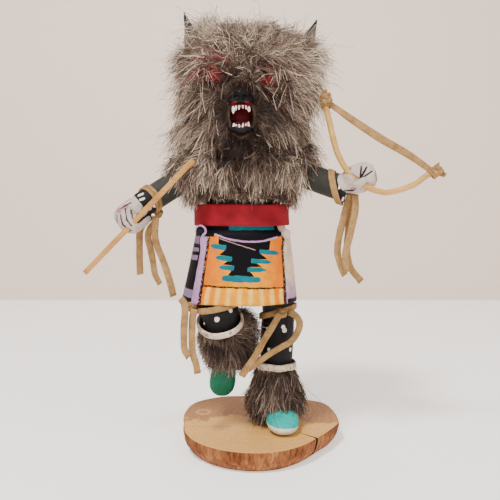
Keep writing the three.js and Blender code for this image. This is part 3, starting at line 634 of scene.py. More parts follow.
def sawn_face():
    """A sawn slice of branch, lightly sealed: pale sapwood, brown heartwood, rings and a knot."""
    material, node, shader = finish("sawn_branch_face", 0.55, Specular_IOR_Level=0.4)
    place = node("TexCoord").outputs["Object"]
    shake = node("TexNoise", {}, place, Scale=60.0, Detail=4.0)
    axes = node("SeparateXYZ", {}, place)
    # Where the heartwood begins, front to back, for each place across the slice.
    edge = node("FloatCurve", {"points": [
        (0.0, 0.56), (0.08, 0.58), (0.16, 0.52), (0.19, 0.515), (0.24, 0.56), (0.33, 0.56),
        (0.42, 0.545), (0.7, 0.49), (0.85, 0.5), (1.0, 0.5)]}, 1.0,
        node("MapRange", {}, axes.outputs["X"], -0.05, 0.05))
    depth = node("MapRange", {}, axes.outputs["Y"], -0.05, 0.05)
    wobbly = node("Math", "MULTIPLY_ADD", shake, 0.4, node("Math", "SUBTRACT", depth, edge))
    heart = node("MapRange", {}, wobbly, 0.19, 0.23)
    # Growth rings about 1.3 mm apart round the pith.
    centred = node("Mapping", {}, place, Location=(0.006, -0.016, 0), Scale=(0.9, 1.0, 0.02))
    ring = node("TexWave", {"wave_type": "RINGS", "rings_direction": "SPHERICAL"}, centred,
                Scale=95.0, Distortion=6.0, Detail=3.0, Detail_Scale=0.8)
    wood = node("Mix", BLEND, heart,
                node("ValToRGB", {"stops": [(0.0, "#c8954f"), (1.0, "#cf9c55")]}, ring),
                node("ValToRGB", {"stops": [(0.0, "#966437"), (1.0, "#a06d40")]}, ring))
    # A small knot towards the left back: a pale ring round a brown eye.
    from_knot = node("VectorMath", "DISTANCE", place, (-0.0336, 0.0160, SLAB_THICK * MM))
    pale = [(at, (grey, grey, grey, 1)) for at, grey in
            ((0.0, 0), (0.25, 0.1), (0.42, 0.7), (0.6, 0), (1.0, 0))]
    wood = node("Mix", BLEND, node("ValToRGB", {"stops": pale}, node(
        "MapRange", {}, from_knot.outputs["Value"], 0.0, 0.009)), wood, "#cf9f63")
    # A faint grey streak across the sapwood.
    streak = node("VectorMath", "MULTIPLY", node("VectorMath", "SUBTRACT", place, (
        -0.027, -0.0065, SLAB_THICK * MM)), (0.075, 1.0, 1.0))
    away = node("VectorMath", "LENGTH", streak).outputs["Value"]
    wood = node("Mix", BLEND, node("MapRange", {}, away, 0.0013, 0.0003, 0.0, 0.45), wood,
                "#8d6f50")
    fibre = node("TexNoise", {}, place, Scale=900.0, Detail=3.0)
    mixed = node("Mix", TINT, 1.0, wood,
                 node("MapRange", {}, fibre, 0.25, 0.75, 0.82, 1.14))
    dress(shader, mixed, fibre, 0.2, 0.2)
    return material


def sash_cotton(colour):
    """Deep red cotton ribbon: a close plain weave with a soft sheen."""
    material, node, shader = finish("red_cotton", 0.8, Specular_IOR_Level=0.2)
    # Threads 0.4 mm apart on a map that is 200 mm wide and 50 mm high.
    weave = node("Mapping", {}, node("UVMap", {"uv_map": "cut"}), Scale=(500.0, 125.0, 1.0))
    threads = node("TexChecker", {}, weave, Scale=1.0).outputs["Fac"]
    tone, _ = grain(node, node("TexCoord").outputs["Object"], [
        (0.3, shade(colour, 0.7)), (0.5, colour), (0.7, shade(colour, 1.2))], [(130.0, 4.0, 0.5)])
    mixed = node("Mix", TINT, 1.0, tone, node("MapRange", {}, threads, 0.0, 1.0, 0.85, 1.08))
    dress(shader, mixed, threads, 0.4, 0.15)
    return material


# The kilt's motif as half widths up its height, in millimetres, and where its bars begin and end.
MOTIF = ((0, 0), (15, 0), (15.1, 6.4), (17.1, 4.8), (17.3, 4.6), (20, 4.6), (20.1, 9.6),
         (21.8, 7.4), (22, 6.6), (24.3, 6.6), (24.4, 12.4), (26.6, 9.8), (27, 9.6), (29.4, 9.6),
         (29.5, 13.6), (33, 14.2), (40, 14.2))
BARS_OUT = ((0, 0), (12, 0), (12.1, 7.8), (12.8, 9), (14.3, 9), (15.1, 7.8), (15.2, 0), (17.4, 0),
            (17.5, 9), (18.4, 11.4), (19.1, 11.2), (19.9, 9), (20, 0), (21.8, 0), (21.9, 11.8),
            (22.8, 14.1), (23.5, 13.9), (24.3, 11.8), (24.4, 0), (26.9, 0), (27, 15.8),
            (27.9, 18.3), (28.7, 18), (29.5, 15.8), (29.6, 0), (40, 0))
BARS_IN = ((0, 0), (15.6, 0), (15.7, 4), (17.9, 3.2), (19.3, 3.2), (20.7, 4), (20.8, 5.6),
           (22.5, 4.8), (23.7, 4.8), (25.5, 5.6), (25.6, 9.6), (27.6, 8.8), (28.9, 8.8), (31, 9.6),
           (40, 9.6))


def kilt_leather(panel):
    """Painted kilt leather: a stepped motif with bars, stripes and side panels, brushed by hand.

    `across` is millimetres from the middle of the front and `up` is millimetres from the hem.
    """
    material, node, shader = finish("painted_kilt_leather", 0.6, Specular_IOR_Level=0.08)
    place = node("TexCoord").outputs["Object"]
    # Hand-painted edges wander by about 0.4 mm.
    shake = node("TexNoise", {}, place, Scale=330.0, Detail=3.0)
    shift = node("VectorMath", "MULTIPLY_ADD", shake.outputs["Color"], (0.9, 0.9, 0.0),
                 (-0.45, -0.45, 0.0))
    measured = node("VectorMath", "MULTIPLY_ADD", node("UVMap", {"uv_map": "cut"}),
                    (200.0, 50.0, 0.0), (-100.0, 0.0, 0.0))
    drawn = node("SeparateXYZ", {}, node("VectorMath", "ADD", measured, shift))
    across, up = drawn.outputs["X"], drawn.outputs["Y"]
    aside = node("Math", "ABSOLUTE", node("Math", "SUBTRACT", across, 2.1))
    # The motif leans down towards the doll's left, more so further up.
    tilted = node("Math", "MULTIPLY_ADD", across, node("Math", "MULTIPLY", up, 0.0035), up)
    share = node("Math", "DIVIDE", tilted, 40.0)
    # Its left half is drawn wider than its right half.
    from_mid = node("Math", "ADD", across, 0.4)
    from_mid = node("Math", "MAXIMUM", node("Math", "MULTIPLY", from_mid, -1.0),
                    node("Math", "MULTIPLY", from_mid, 0.82))
    half = node("Math", "DIVIDE", from_mid, 20.0)
    motif, bars_out, bars_in = (
        node("FloatCurve", {"points": [(height / 40, width / 20) for height, width in outline]},
             1.0, share) for outline in (MOTIF, BARS_OUT, BARS_IN))
    bar = node("Math", "MULTIPLY", node("Math", "LESS_THAN", half, bars_out),
               node("Math", "GREATER_THAN", half, bars_in))
    # Lower band: pale and orange stripes 5.3 mm apart.
    wave = node("Math", "SINE",
                node("Math", "MULTIPLY_ADD", across, 2 * math.pi / 5.3, 1.3))
    orange, yellow = (node("MapRange", {}, wave, *ends) for ends in ((-0.6, 0.2), (0.2, 0.7)))
    # How far a place lies past the panel's side edges.
    beyond = node("Math", "SUBTRACT", aside, node("Math", "MULTIPLY_ADD", up, 0.045, 21.3))
    # A line that hangs between the panel's upper corners, and one that slopes across it.
    off_mid = node("Math", "SUBTRACT", across, 5.0)
    sag = node("Math", "MULTIPLY_ADD", node("Math", "MULTIPLY", off_mid, off_mid), -0.0078, up)
    slope = node("Math", "MULTIPLY_ADD", across, 0.26, up)
    speckle = node("MapRange", {}, node("TexNoise", {}, place, Scale=1500.0, Detail=2.0), 0.3, 0.48)

    def between(value, low, high):
        """1 where a value lies between two numbers, with a soft painted edge."""
        away = node("Math", "ABSOLUTE", node("Math", "SUBTRACT", value, (low + high) / 2))
        reach = (high - low) / 2
        return node("MapRange", {}, away, reach + 0.12, reach - 0.12)

    black, teal, lilac, shaded_lilac = "#08050a", "#07616a", "#a07a9c", "#77637c"
    colour = node("Mix", BLEND, node("MapRange", {}, aside, 6.0, 19.0), panel, "#cc6600")
    pale = node("Mix", BLEND, node("MapRange", {}, up, 14.0, 3.0), "#ccb29a", lilac)
    left, right = (node("Math", side, across, 0.0) for side in ("LESS_THAN", "GREATER_THAN"))
    in_motif = node("Math", "LESS_THAN", half, motif)
    # Each layer of paint covers where all of its masks and limits (value, low, high) agree.
    for paint, *masks in (
            ("#d99600", (up, -5, 9), orange), ("#e0ab50", (up, -5, 9), yellow),
            (black, (tilted, 8.7, 9.7), speckle), (black, in_motif, (up, 9, 60)), (teal, bar),
            (black, (sag, 32.0, 60)), (lilac, (sag, 31.75, 32.65), (across, -19.5, 22)),
            (teal, (up, 38, 40.4), (across, -9.5, 23)),
            ("#9c7f78", (slope, 29.95, 30.35), (across, -14, 8)), (pale, (beyond, 0, 200)),
            # Past the lilac band the kilt's left side is a darker lilac: painted shade on that
            # side.
            (shaded_lilac, left, (beyond, 0.8, 60)), (lilac, left, (beyond, 0.8, 4.9)),
            (black, left, (beyond, -3.4, 60), (up, 34.6, 60)),
            (black, left, (beyond, 4.9, 6.2), (up, 21, 34)),
            (black, left, (beyond, 4.9, 17), (up, 24.9, 26.8)),
            (black, left, (beyond, 6, 17), (up, 28.8, 30.8)),
            (black, left, (beyond, 5, 17.5), (up, 7.4, 22.4)),
            (black, left, (beyond, 5, 60), (up, -5, 3.2)), (black, (beyond, -0.9, 0.9), speckle),
            (black, right, (beyond, 1.6, 200), (up, -5, 2.6))):
        masks = [between(*mask) if isinstance(mask, tuple) else mask for mask in masks]
        colour = node("Mix", BLEND, reduce(partial(node, "Math", "MULTIPLY"), masks), colour, paint)
    cloud = node("TexNoise", {}, place, Scale=240.0, Detail=4.0)
    mixed = node("Mix", TINT, 1.0, colour, node("MapRange", {}, cloud, 0.3, 0.7, 0.82, 1.14))
    dress(shader, mixed, cloud, 0.35, 0.3)
    return material


# ------------------------------------------------------------------ fur

HAIR_INPUTS = ("Hairs per Area", "Length", "Width", "Lock Size", "Lock Swing", "Gathering",
               "Unruliness", "Sag", "Tint Spread", "Tint Shift")
# Hairs: their count as a share of the first, short kind and of the second, long kind, length,
# lock size in millimetres, lock swing, gathering, unruliness, sag, tint spread and tint shift.
COATS = {"body": (("_underfur", 1, 0, 1, 5, 0.9, 0.15, 0.4, 0.3, 0.4, 0),
                  ("_guard_hair", 0, 1, 1, 9, 1, 0.05, 0.7, 0.5, 0.6, 0.18),
                  ("_stray_hair", 0, 0.08, 1.5, 9, 0.8, 0, 0.9, 0.3, 0.4, 0.2)),
         "legs": (("_underfur", 1, 0, 0.7, 5, 0.25, 0.15, 0.4, 0.3, 0.4, 0),
                  ("_guard_hair", 0, 1, 0.5, 9, 0.3, 0.05, 0.35, 0.5, 0.6, 0.1),
                  ("_stray_hair", 0, 0.08, 0.8, 9, 0.8, 0, 0.9, 0.3, 0.4, 0.2))}


def fur_tree():
    """A node tree that grows tapered hairs on a pelt, gathered into locks."""
    tree = bpy.data.node_groups.new("grow_hair", "GeometryNodeTree")
    for name, kind in (("Pelt", "Geometry"), *((name, "Float") for name in HAIR_INPUTS),
                       ("Seed", "Int"), ("Coat", "Material")):
        tree.interface.new_socket(name=name, in_out="INPUT", socket_type="NodeSocket" + kind)
    tree.interface.new_socket(name="Hair", in_out="OUTPUT", socket_type="NodeSocketGeometry")
    given = tree.nodes.new("NodeGroupInput").outputs
    seed = {"Seed": given["Seed"]}
    node = partial(add, tree)
    named, chance, store = "InputNamedAttribute", "RandomValue", "StoreNamedAttribute"
    where = node("InputPosition")

    density = node("Math", "MULTIPLY", given["Hairs per Area"], node(named, FLOAT, "cover"))
    hairs = node("DistributePointsOnFaces", {}, given["Pelt"], Density=density, **seed)
    scatter = node(chance, VECTOR, (-1.0, -1.0, -1.0), (1.0, 1.0, 1.0), **seed)
    cell = node("TexVoronoi", {}, where, Scale=node("Math", "DIVIDE", 1.0, given["Lock Size"]))
    swing = node("VectorMath", "SUBTRACT", cell.outputs["Color"], (0.5, 0.5, 0.5))
    way = node(named, VECTOR, "flow")
    for share, amount in ((scatter, given["Unruliness"]), (swing, given["Lock Swing"])):
        way = node("VectorMath", "ADD", way, node("VectorMath", "SCALE", share, Scale=amount))
    way = node("VectorMath", "NORMALIZE", way)
    span = node("Math", "MULTIPLY", given["Length"], node(named, FLOAT, "reach"))
    span = node("Math", "MULTIPLY", span, node(chance, FLOAT, 0.55, 1.15, **seed))
    spread = node(chance, FLOAT, -0.5, 0.5, Seed=node("Math", "ADD", given["Seed"], 5.0))
    tint = node("Math", "MULTIPLY_ADD", spread, given["Tint Spread"], node(named, FLOAT, "tone"))
    tint = node("Math", "ADD", tint, given["Tint Shift"])
    # The pelt is darker and paler in patches about 10 mm across.
    patch = node("TexNoise", {}, where, Scale=105.0, Detail=2.0)
    tint = node("Math", "ADD", tint, node("Math", "MULTIPLY_ADD", patch, 1.25, -0.63))
    dyed = node("Math", "GREATER_THAN", node(named, FLOAT, "dye"),
                node("Math", "ADD", spread, 0.5))
    tint = node("Switch", {"input_type": "FLOAT"}, dyed, node("Clamp", {}, tint, 0.02, 0.86), 0.95)
    spin = node(chance, FLOAT, 0.0, 6.283, **seed)
    for name, kind, value in (("root", VECTOR, where), ("way", VECTOR, way), ("span", FLOAT, span),
                              ("tint", FLOAT, tint), ("lock", VECTOR, cell.outputs["Position"]),
                              ("spin", FLOAT, spin)):
        hairs = node(store, kind, hairs, Name=name, Value=value)
    line = node("CurvePrimitiveLine", {}, (0.0, 0.0, 0.0), (0.0, 0.0, 0.001))
    hairs = node("InstanceOnPoints", {}, hairs, Instance=node("ResampleCurve", {}, line, Count=4))
    hairs = node("RealizeInstances", {}, hairs)

    along = node("SplineParameter").outputs["Factor"]
    root, way, lock = (node(named, VECTOR, name) for name in ("root", "way", "lock"))
    span, spin, tint = (node(named, FLOAT, name) for name in ("span", "spin", "tint"))
    out = node("Math", "MULTIPLY", span, along)
    bend = node("Math", "MULTIPLY", out, along)
    place = straight = node("VectorMath", "MULTIPLY_ADD", way,
                            node("CombineXYZ", {}, out, out, out), root)
    down = node("Math", "MULTIPLY", bend, node("Math", "MULTIPLY", given["Sag"], -1.0))
    gathered = node("Math", "MULTIPLY", given["Gathering"], node("Math", "POWER", along, 1.4))
    wave = node("TexNoise", {}, straight, Scale=190.0, Detail=1.0)
    curl = node("VectorMath", "SUBTRACT", wave.outputs["Color"], (0.5, 0.5, 0.5))
    for shift in (node("CombineXYZ", {}, 0.0, 0.0, down),
                  node("VectorMath", "SCALE", node("VectorMath", "SUBTRACT", lock, root),
                       Scale=gathered),
                  node("VectorMath", "SCALE", curl, Scale=node("Math", "MULTIPLY", bend, 1.1))):
        place = node("VectorMath", "ADD", place, shift)
    hairs = node("SetPosition", {}, hairs, Position=place)
    hairs = node(store, FLOAT, hairs, Name="along", Value=along)
    hairs = node("SetCurveTilt", {}, hairs, Tilt=spin)
    hairs = node("SetCurveRadius", {}, hairs,
                 Radius=node("MapRange", {}, along, 0.35, 1.0, 1.0, 0.12))
    half = node("Math", "MULTIPLY", given["Width"], 0.5)
    ribbon = node("CurvePrimitiveLine", {}, node("CombineXYZ", {}, half, 0.0, 0.0), node(
        "CombineXYZ", {}, node("Math", "MULTIPLY", half, -1.0), 0.0, 0.0))
    mesh = node("CurveToMesh", {}, hairs, Profile_Curve=ribbon)
    mesh = node(store, {"data_type": "FLOAT2", "domain": "CORNER"}, mesh, Name="OFBake",
                Value=node("CombineXYZ", {}, tint, node(named, FLOAT, "along"), 0.0))
    mesh = node("RealizeInstances", {}, mesh)
    mesh = node("SetMaterial", {}, mesh, Material=given["Coat"])
    tree.links.new(mesh.outputs[0], tree.nodes.new("NodeGroupOutput").inputs[0])
    return tree


def grow(name, pelt, coat, seed, *wishes):
    """Grows one piece of hair on a copy of a pelt's mesh."""
    tree = bpy.data.node_groups.get("grow_hair") or fur_tree()
    thing = put(name, pelt.copy())
    modifier = thing.modifiers.new("hair", "NODES")
    modifier.node_group = tree
    given = dict(zip(HAIR_INPUTS, map(float, wishes)), Seed=seed, Coat=coat)
    for item in tree.interface.items_tree:
        if item.in_out == "INPUT" and item.name in given:
            modifier[item.identifier] = given[item.name]
    mesh = settled(thing)
    for mark_name in ("root", "way", "span", "tint", "lock", "spin", "along", "tone", "dye",
                      "flow", "reach", "cover"):
        if mark_name in mesh.attributes:
            mesh.attributes.remove(mesh.attributes[mark_name])
    piece(name, mesh, [], "fur")


def covered(mesh):
    """Area of the mesh that bears hair, in square metres."""
    cover = np.empty(len(mesh.vertices), dtype=np.float32)
    mesh.attributes["cover"].data.foreach_get("value", cover)
    return sum(p.area * cover[p.vertices[0]] for p in mesh.polygons)


def looks_out(co, no, axis):
    """Where a pelt looks away from the axis of the hollow inside it."""
    return np.sum(unit(co - axis) * no, axis=1) > -0.05


def comb_hood(mesh):
    """Combs the hood away from the nose, open round both eyes and down at its sides."""
    co, no = corners_of(mesh)
    x, _, z = co.T
    out = co - np.array((HEAD_X, -36, 186))
    away = np.linalg.norm(out, axis=1)
    top = np.clip((z - 200) / 22, 0, 1)[:, None]
    side = np.clip((away - 22) / 30, 0, 1)[:, None] * (1 - top)
    flow = unit(out) * (1 - 0.55 * side) + np.array((0, 0, -0.75)) * side + (0, 0, 0.5) * top
    flow -= no * np.sum(flow * no, axis=1)[:, None]
    lift = 0.38 + 0.5 * np.clip((z - 208) / 14, 0, 1)[:, None]
    reach = np.clip(0.5 + away / 55, 0.55, 1.0)
    tone = 0.45 + 0.07 * np.clip((z - 190) / 30, 0, 1) - 0.32 * np.exp(-(away / 15) ** 2)
    axis = np.column_stack([np.full_like(z, HEAD_X), np.full_like(z, 0.5), np.clip(z, 150, 196)])
    cover = (looks_out(co, no, axis)
             & (np.linalg.norm(co - axis, axis=1) > 24.5)).astype(float)
    dye, bald = np.zeros_like(z), np.ones_like(z)
    for eye, brow, bare, wide in (((-21.6, -30, 196), (-21.3, -31, 201), 4.2, 5.2),
                                  ((3.4, -30, 191), (2.4, -31, 195), 3.2, 3.4)):
        near = np.linalg.norm((co - np.array(eye)) * (1, 0.6, 1), axis=1)
        bald = np.minimum(bald, np.clip((near - bare) * 4, 0, 1))
        cover = np.where(near < bare, 0.4 * cover, cover)
        rim = np.exp(-((near - 5) / 5) ** 2)
        reach = reach + 0.25 * rim
        # Round the lower part of each eye the hair is darker: painted shade in the socket.
        tone -= 0.22 * rim * (z < eye[2] + 3)
        # Some locks fall across the eye.
        fall = rim * (np.sin(x * 2.3 + 1) * np.sin(z * 1.9) > 0.5) * (z > eye[2] - 2)
        brow_dye = 0.9 * np.exp(-(np.linalg.norm(co - np.array(brow), axis=1) / wide) ** 2)
        dye = np.max([dye, brow_dye, 0.14 * wide * fall], axis=0)
        flow = unit(flow) * (1 - fall[:, None]) + unit(np.array(eye) - co) * fall[:, None]
        lift = lift + (0.9 * fall - 0.4 * rim)[:, None]
    flank = np.clip((np.abs(x - HEAD_X) - 14) / 12, 0, 1)
    # Tufts stand up inside the ears, the right one taller.
    tuft = np.exp(-(np.linalg.norm(co - (-30, -4, 223), axis=1) / 9) ** 2)
    tuft += 0.6 * np.exp(-(np.linalg.norm(co - (14, -4, 220), axis=1) / 8) ** 2)
    low = np.clip((196 - z) / 16, 0, 1) * flank
    flow = unit(flow) + no * lift + tuft[:, None] * (-0.1, 0, 2.2) - no * 0.08 * low[:, None]
    mark(mesh, flow=unit(flow) * (1 + 0.5 * flank + 0.5 * low)[:, None],
         reach=reach * (1 + 0.9 * tuft), tone=np.clip(tone, 0.05, 1), cover=cover, dye=dye)
    edge = np.clip((179 - z) / 8, 0, 1)
    sink(mesh, (cover > 0) * bald * (1 - 0.9 * np.clip(tuft, 0, 1))
         * (4.4 + 2.8 * flank + 0.6 * low - 3.4 * edge))


def comb_mantle(mesh):
    """Combs the mantle down from the neck to a flat, short hem above the sash."""
    co, no = corners_of(mesh)
    x, y, z = co.T
    flow = np.array((0, 0, -1.0)) + 0.35 * unit((co - (-11, 0, 0)) * (1, 1, 0))
    # The hair parts below the chin.
    flow[:, 0] += 0.9 * np.sign(x + 13) * np.exp(-((x + 13) / 6) ** 2) * (y < -15)
    flow -= no * np.sum(flow * no, axis=1)[:, None]
    # Towards the hem the hair lies flat and follows the taper.
    flow = unit(flow) + no * np.interp(z, [138, 156], [0.0, 0.26])[:, None]
    flow *= np.interp(z, [134, 158], [3.0, 1.3])[:, None]
    chin = np.exp(-((x + 13) / 4.6) ** 2) * (y < -15) * np.clip((z - 146) / 8, 0, 1)
    reach = np.interp(z, [131, 136, 144, 154, 162], [0.16, 0.3, 0.5, 0.75, 0.95])
    axis = np.column_stack([np.full_like(z, -10.5), np.zeros_like(z), z])
    radius = np.interp(z, [128, 133, 134, 158, 168], [25.8, 25.8, 23.4, 21.8, 21.5])
    outside = (looks_out(co, no, axis)
               & (np.hypot(x + 10.5, y * 1.18) > radius)).astype(float)
    cover = np.where(no[:, 2] > 0.92, 0.7, outside) * (z > 131.6)
    # The reed lies bare on the fur.
    cover = np.where(from_strokes(co, [(*REED, 4.5)]) < 0, 0.15, cover)
    mark(mesh, flow=flow, reach=reach * (1 - 0.6 * chin), tone=np.clip(0.38 - 0.36 * chin, 0.03, 1),
         cover=cover, dye=0.0)
    sink(mesh, np.interp(z, [129, 134, 142, 152, 160, 168], [6, 7.2, 7.2, 6.6, 8.4, 12]) * outside)
    # The hem is drawn up off the sash.
    co = corners_of(mesh)[0]
    co[:, 2] += 0.8 * np.clip(136 - co[:, 2], 0, 9)
    move(mesh, co)


def comb_left(mesh):
    """Combs the standing leg's fur down over the top of the shoe."""
    co, no = corners_of(mesh)
    x, _, z = co.T
    axis = np.column_stack([np.full_like(z, 8.4), np.full_like(z, 2.2), z])
    cover = (looks_out(co, no, axis) & (np.linalg.norm(co - axis, axis=1) > 10.4)
             & (z < 44.5)).astype(float)
    reach = np.clip((46 - z) / 6, 0.35, 1) * np.clip((z - 10) / 12, 0.25, 1)
    mark(mesh, flow=unit(np.array((0, 0, -1.0)) + no * 0.5),
         reach=reach * (1 + 0.4 * np.exp(-((z - 34) / 7) ** 2)),
         tone=0.2 + 0.12 * np.clip((z - 15) / 30, 0, 1), cover=cover, dye=0.0)
    corner = np.clip((24 - z) / 8, 0, 1) * np.clip((6 - x) / 5, 0, 1)
    sink(mesh, cover * (1.7 + 2.8 * corner))
    # The hair is trimmed higher on its outer side, above the shoe.
    co = corners_of(mesh)[0]
    co[:, 2] += 6.5 * np.clip((24 - co[:, 2]) / 12, 0, 1) * np.clip((co[:, 0] - 11) / 9, 0, 1)
    move(mesh, co)


def comb_right(mesh):
    """Combs the lifted leg's fur down along the shin."""
    co, no = corners_of(mesh)
    x, _, z = co.T
    corner = np.clip((x + 18) / 6, 0, 1) * np.clip((z - 54) / 10, 0, 1)
    flow = (unit((-1, 24, -31)) + no * 0.5 + (0, 0, -0.35)) * (1 - corner[:, None])
    flow += np.outer(corner, (0.5, 0.1, 0.9))
    middle = np.array([(-21, 7.5, 38), (-20.2, 6.5, 44), (-18.9, 2.5, 52), (-18.6, -4, 60),
                       (-20.8, -12.4, 67.4), (-22, -17.9, 72.6)])
    axis = np.column_stack([np.interp(z, middle[:, 2], middle[:, k]) for k in range(3)])
    inner = np.interp(z, [36, 44, 52, 60, 70], [4.2, 7.9, 9.8, 10.8, 11])
    edge = (co - np.array((-21.8, -16.6, 71.4))) @ unit((0.1, 0.62, -0.78))
    cover = ((np.sum(unit(co - axis) * no, axis=1) >= -0.1)
             & (np.linalg.norm(co - axis, axis=1) > inner) & (edge > 1.0)).astype(float)
    hem = np.clip((z - 36) / 10, 0.2, 1) * (1 + 0.75 * corner)
    mark(mesh, flow=unit(flow), reach=np.clip(0.35 + edge / 8, 0.35, 1) * hem,
         tone=0.2 + 0.18 * np.clip((-x - 22) / 10, 0, 1), cover=cover, dye=0.0)
    sink(mesh, 1.7 * cover)
    # The hem is drawn up off the shoe.
    co = corners_of(mesh)[0]
    co[:, 2] += 4.6 * np.clip((52 - co[:, 2]) / 16, 0, 1)
    move(mesh, co)


def muzzle_collar():
    """Lips and cheeks: a short funnel round both jaws, from which dark hair grows."""
    outer = ((-18, 177.5, 12.4, 15.8), (-24, 176.8, 11.2, 14.6), (-30, 176, 9.6, 13.4),
             (-33, 175.2, 7.8, 12), (-35.6, 174.4, 6.4, 10.8))
    inner = [(y, z, wide - 1, high - 1) for y, z, wide, high in outer]
    mesh = surface("muzzle_collar", upright_rings([*outer, *inner[::-1]], 48), loop=True)
    co, no = corners_of(mesh)
    z = co[:, 2]
    outside = np.arange(len(no)) < 48 * len(outer)
    flow = (no * 0.8 + np.outer(np.where(co[:, 1] < -32, -0.25, 0.6), (0, 1, 0))
            + np.outer(np.where(z > 176, 0.25, -0.35), (0, 0, 1)))
    return mark(mesh, flow=unit(flow), reach=np.interp(z, [164, 176, 190], [1.0, 0.8, 0.6]),
                tone=np.interp(z, [164, 172, 186], [0.06, 0.2, 0.26]), cover=outside, dye=0.0)


def skin_cuffs():
    """The bare turned edges at the top of both leggings."""
    parts = []
    for centre, run, radius in (((7.9, 2, 44.4), (0.03, 0, 1), 11.0),
                                ((-21.9, -17.2, 71.9), (-0.08, -0.5, 0.86), 11.6)):
        spoke = spokes(unit(run), (0, -1, -0.2), circle(72))
        path = np.array(centre) + radius * spoke
        path += np.outer(0.5 * ripple(*(1.6 * spoke).T), unit(run))
        parts.append(surface("cuff", swept(path, 3.7, 1.6, spoke, square=2.6, closed=True,
                                           sides=12), loop=True))
    piece("skin_cuffs", joined("skin_cuffs", parts), [bare_hide()], "fur")


# ------------------------------------------------------------------ carved and tied shapes


def tie_loop(centre, run, radius, lean, width, thick):
    """A lace drawn once round a limb, in the plane that `lean` is square to."""
    run, lean = unit(run), unit(lean)
    spoke = spokes(run, (0.31, 0.9, 0.2), circle(48))
    path = np.array(centre) + spoke * radius - np.outer(radius * spoke @ lean / (run @ lean), run)
    return surface("loop", swept(path, width, thick, spoke, closed=True), loop=True)


def knot(centre, width, thick, seed, size):
    """An overhand knot: the lace follows a trefoil, pulled tight."""
    t = circle(60)
    path = np.column_stack([np.sin(t) + 2 * np.sin(2 * t), -1.3 * np.sin(3 * t),
                            np.cos(t) - 2 * np.cos(2 * t)]) * 0.85 * size
    turn = seed * 0.9
    path[:, [0, 2]] = path[:, [0, 2]] @ np.array([[math.cos(turn), -math.sin(turn)],
                                                  [math.sin(turn), math.cos(turn)]])
    face = unit(path * (0.5, 0, 0.5) + (0, -2, 0))
    return surface("knot", swept(path + np.array(centre), width * 0.72, thick * 1.15, face,
                                 closed=True), loop=True)


def winding(centre, run, radius, thick):
    """Four turns of lace side by side round the stave's tip."""
    turns = np.linspace(-2, 2, 90)
    spoke = spokes(unit(run), (0, 1, 0), turns * 2 * math.pi)
    path = (np.array(centre) + spoke * (radius + thick / 2 + 0.35)
            + np.outer(turns * 1.6, unit(run)))
    return surface("winding", swept(path, 1.5, thick, spoke), caps=True)


def split_wedge():
    """The drying split: a crooked wedge that narrows towards the middle."""
    step = np.arange(9)
    out, half = 24 + step * 3.4, 0.12 + 2.1 * (step / 8) ** 1.6
    bend = 0.5 * ripple(step * 0.7, 3.1, 0)
    x, y = np.append(out, out[::-1]), np.append(bend + half, (bend - half)[::-1])
    c, s = math.cos(math.radians(-38)), math.sin(math.radians(-38))
    return surface("split", np.array([np.column_stack([x * c - y * s, x * s + y * c,
                                                       np.full(len(x), z)]) for z in (-3, 15)]),
                   caps=True)


def thumb(*ends):
    """A carved thumb from its root to its tip, with the fist's paint on it."""
    share = np.abs(np.linspace(-1, 1, 14))
    size = 3.9 * np.sqrt(np.maximum(1 - share ** 2.6, 0.03))
    rings = swept(even_path(ends, 14), size, size * 0.8, (0, -1, 0), square=2.2, sides=14)
    return mark(surface("thumb", rings, caps=True), black=9, dots=9, smudge=9, lines=9, fist=-9)


def painted(mesh, paint):
    """Marks a whole part of the head for one of its paints."""
    return mark(mesh, **{name: -9 if name == paint else 9 for name in ("mouth", "gum", "eye")})


def upright_rings(rows, sides):
    """Rings round the snout through rows of y, height, half width and half height."""
    u, v = oval(circle(sides))
    return np.array([np.column_stack([HEAD_X + wide * u, np.full(sides, y), z + high * v])
                     for y, z, wide, high in rows])


def jaw(name, stations, inner):
    """A jaw along -Y, flattened on its inner side where the palate and tongue lie."""
    u, v = oval(circle(40))
    rows = []
    for y, z, wide, high in zip(*between_rows(stations, 34)):
        up = v * high
        flat = np.where(up * inner > high * 0.8, inner * high * 0.8, up)
        dip = 0.25 * high * np.clip(1 - (u / 0.7) ** 2, 0, 1) * (up * inner > 0)
        # The jaw narrows away from the mouth.
        narrow = 1 - 0.48 * np.clip(-flat * inner / high, 0, 1)
        rows.append(np.column_stack([HEAD_X + u * wide * narrow, np.full(40, y),
                                     z + flat - inner * dip]))
    mesh = surface(name, np.array(rows), caps=True)
    x, y, z = corners_of(mesh)[0].T
    given = np.array(stations, dtype=float)
    middle, width = (np.interp(-y, -given[:, 0], given[:, k]) for k in (1, 2))
    return mark(mesh, mouth=0.6 - (z - middle) * inner
                + np.maximum(np.abs(x - HEAD_X) - width * 0.7, 0), gum=9, eye=9)


def throat():
    """The red hollow behind the jaws."""
    rows = ((-8, 176.5, 10.5, 8.5), (-18, 176, 8.6, 7.6), (-26, 175.4, 6.4, 6.6),
            (-28, 175.2, 4, 4.4))
    return painted(surface("throat", upright_rings(rows, 24), caps=True), "mouth")


def tongue():
    """The tongue, in the gums' paint."""
    path = even_path([(HEAD_X, -24, 170.6), (HEAD_X, -33, 171), (HEAD_X, -41, 169.8)], 16)
    rings = swept(path, np.linspace(9, 4.2, 16), np.linspace(3.4, 1.6, 16), (0, 0, 1), square=2.2,
                  sides=16)
    return painted(surface("tongue", rings, caps=True), "gum")


def eyeball(centre):
    """A swelling eyeball under a heavy brow, all in red paint."""
    return painted(ball("eye", 28, 18, lambda x, y, z: (
        x * 6 + centre[0], y * (6.5 if z > 0.35 else 5.6) + centre[1], z * 4.8 + centre[2])), "eye")


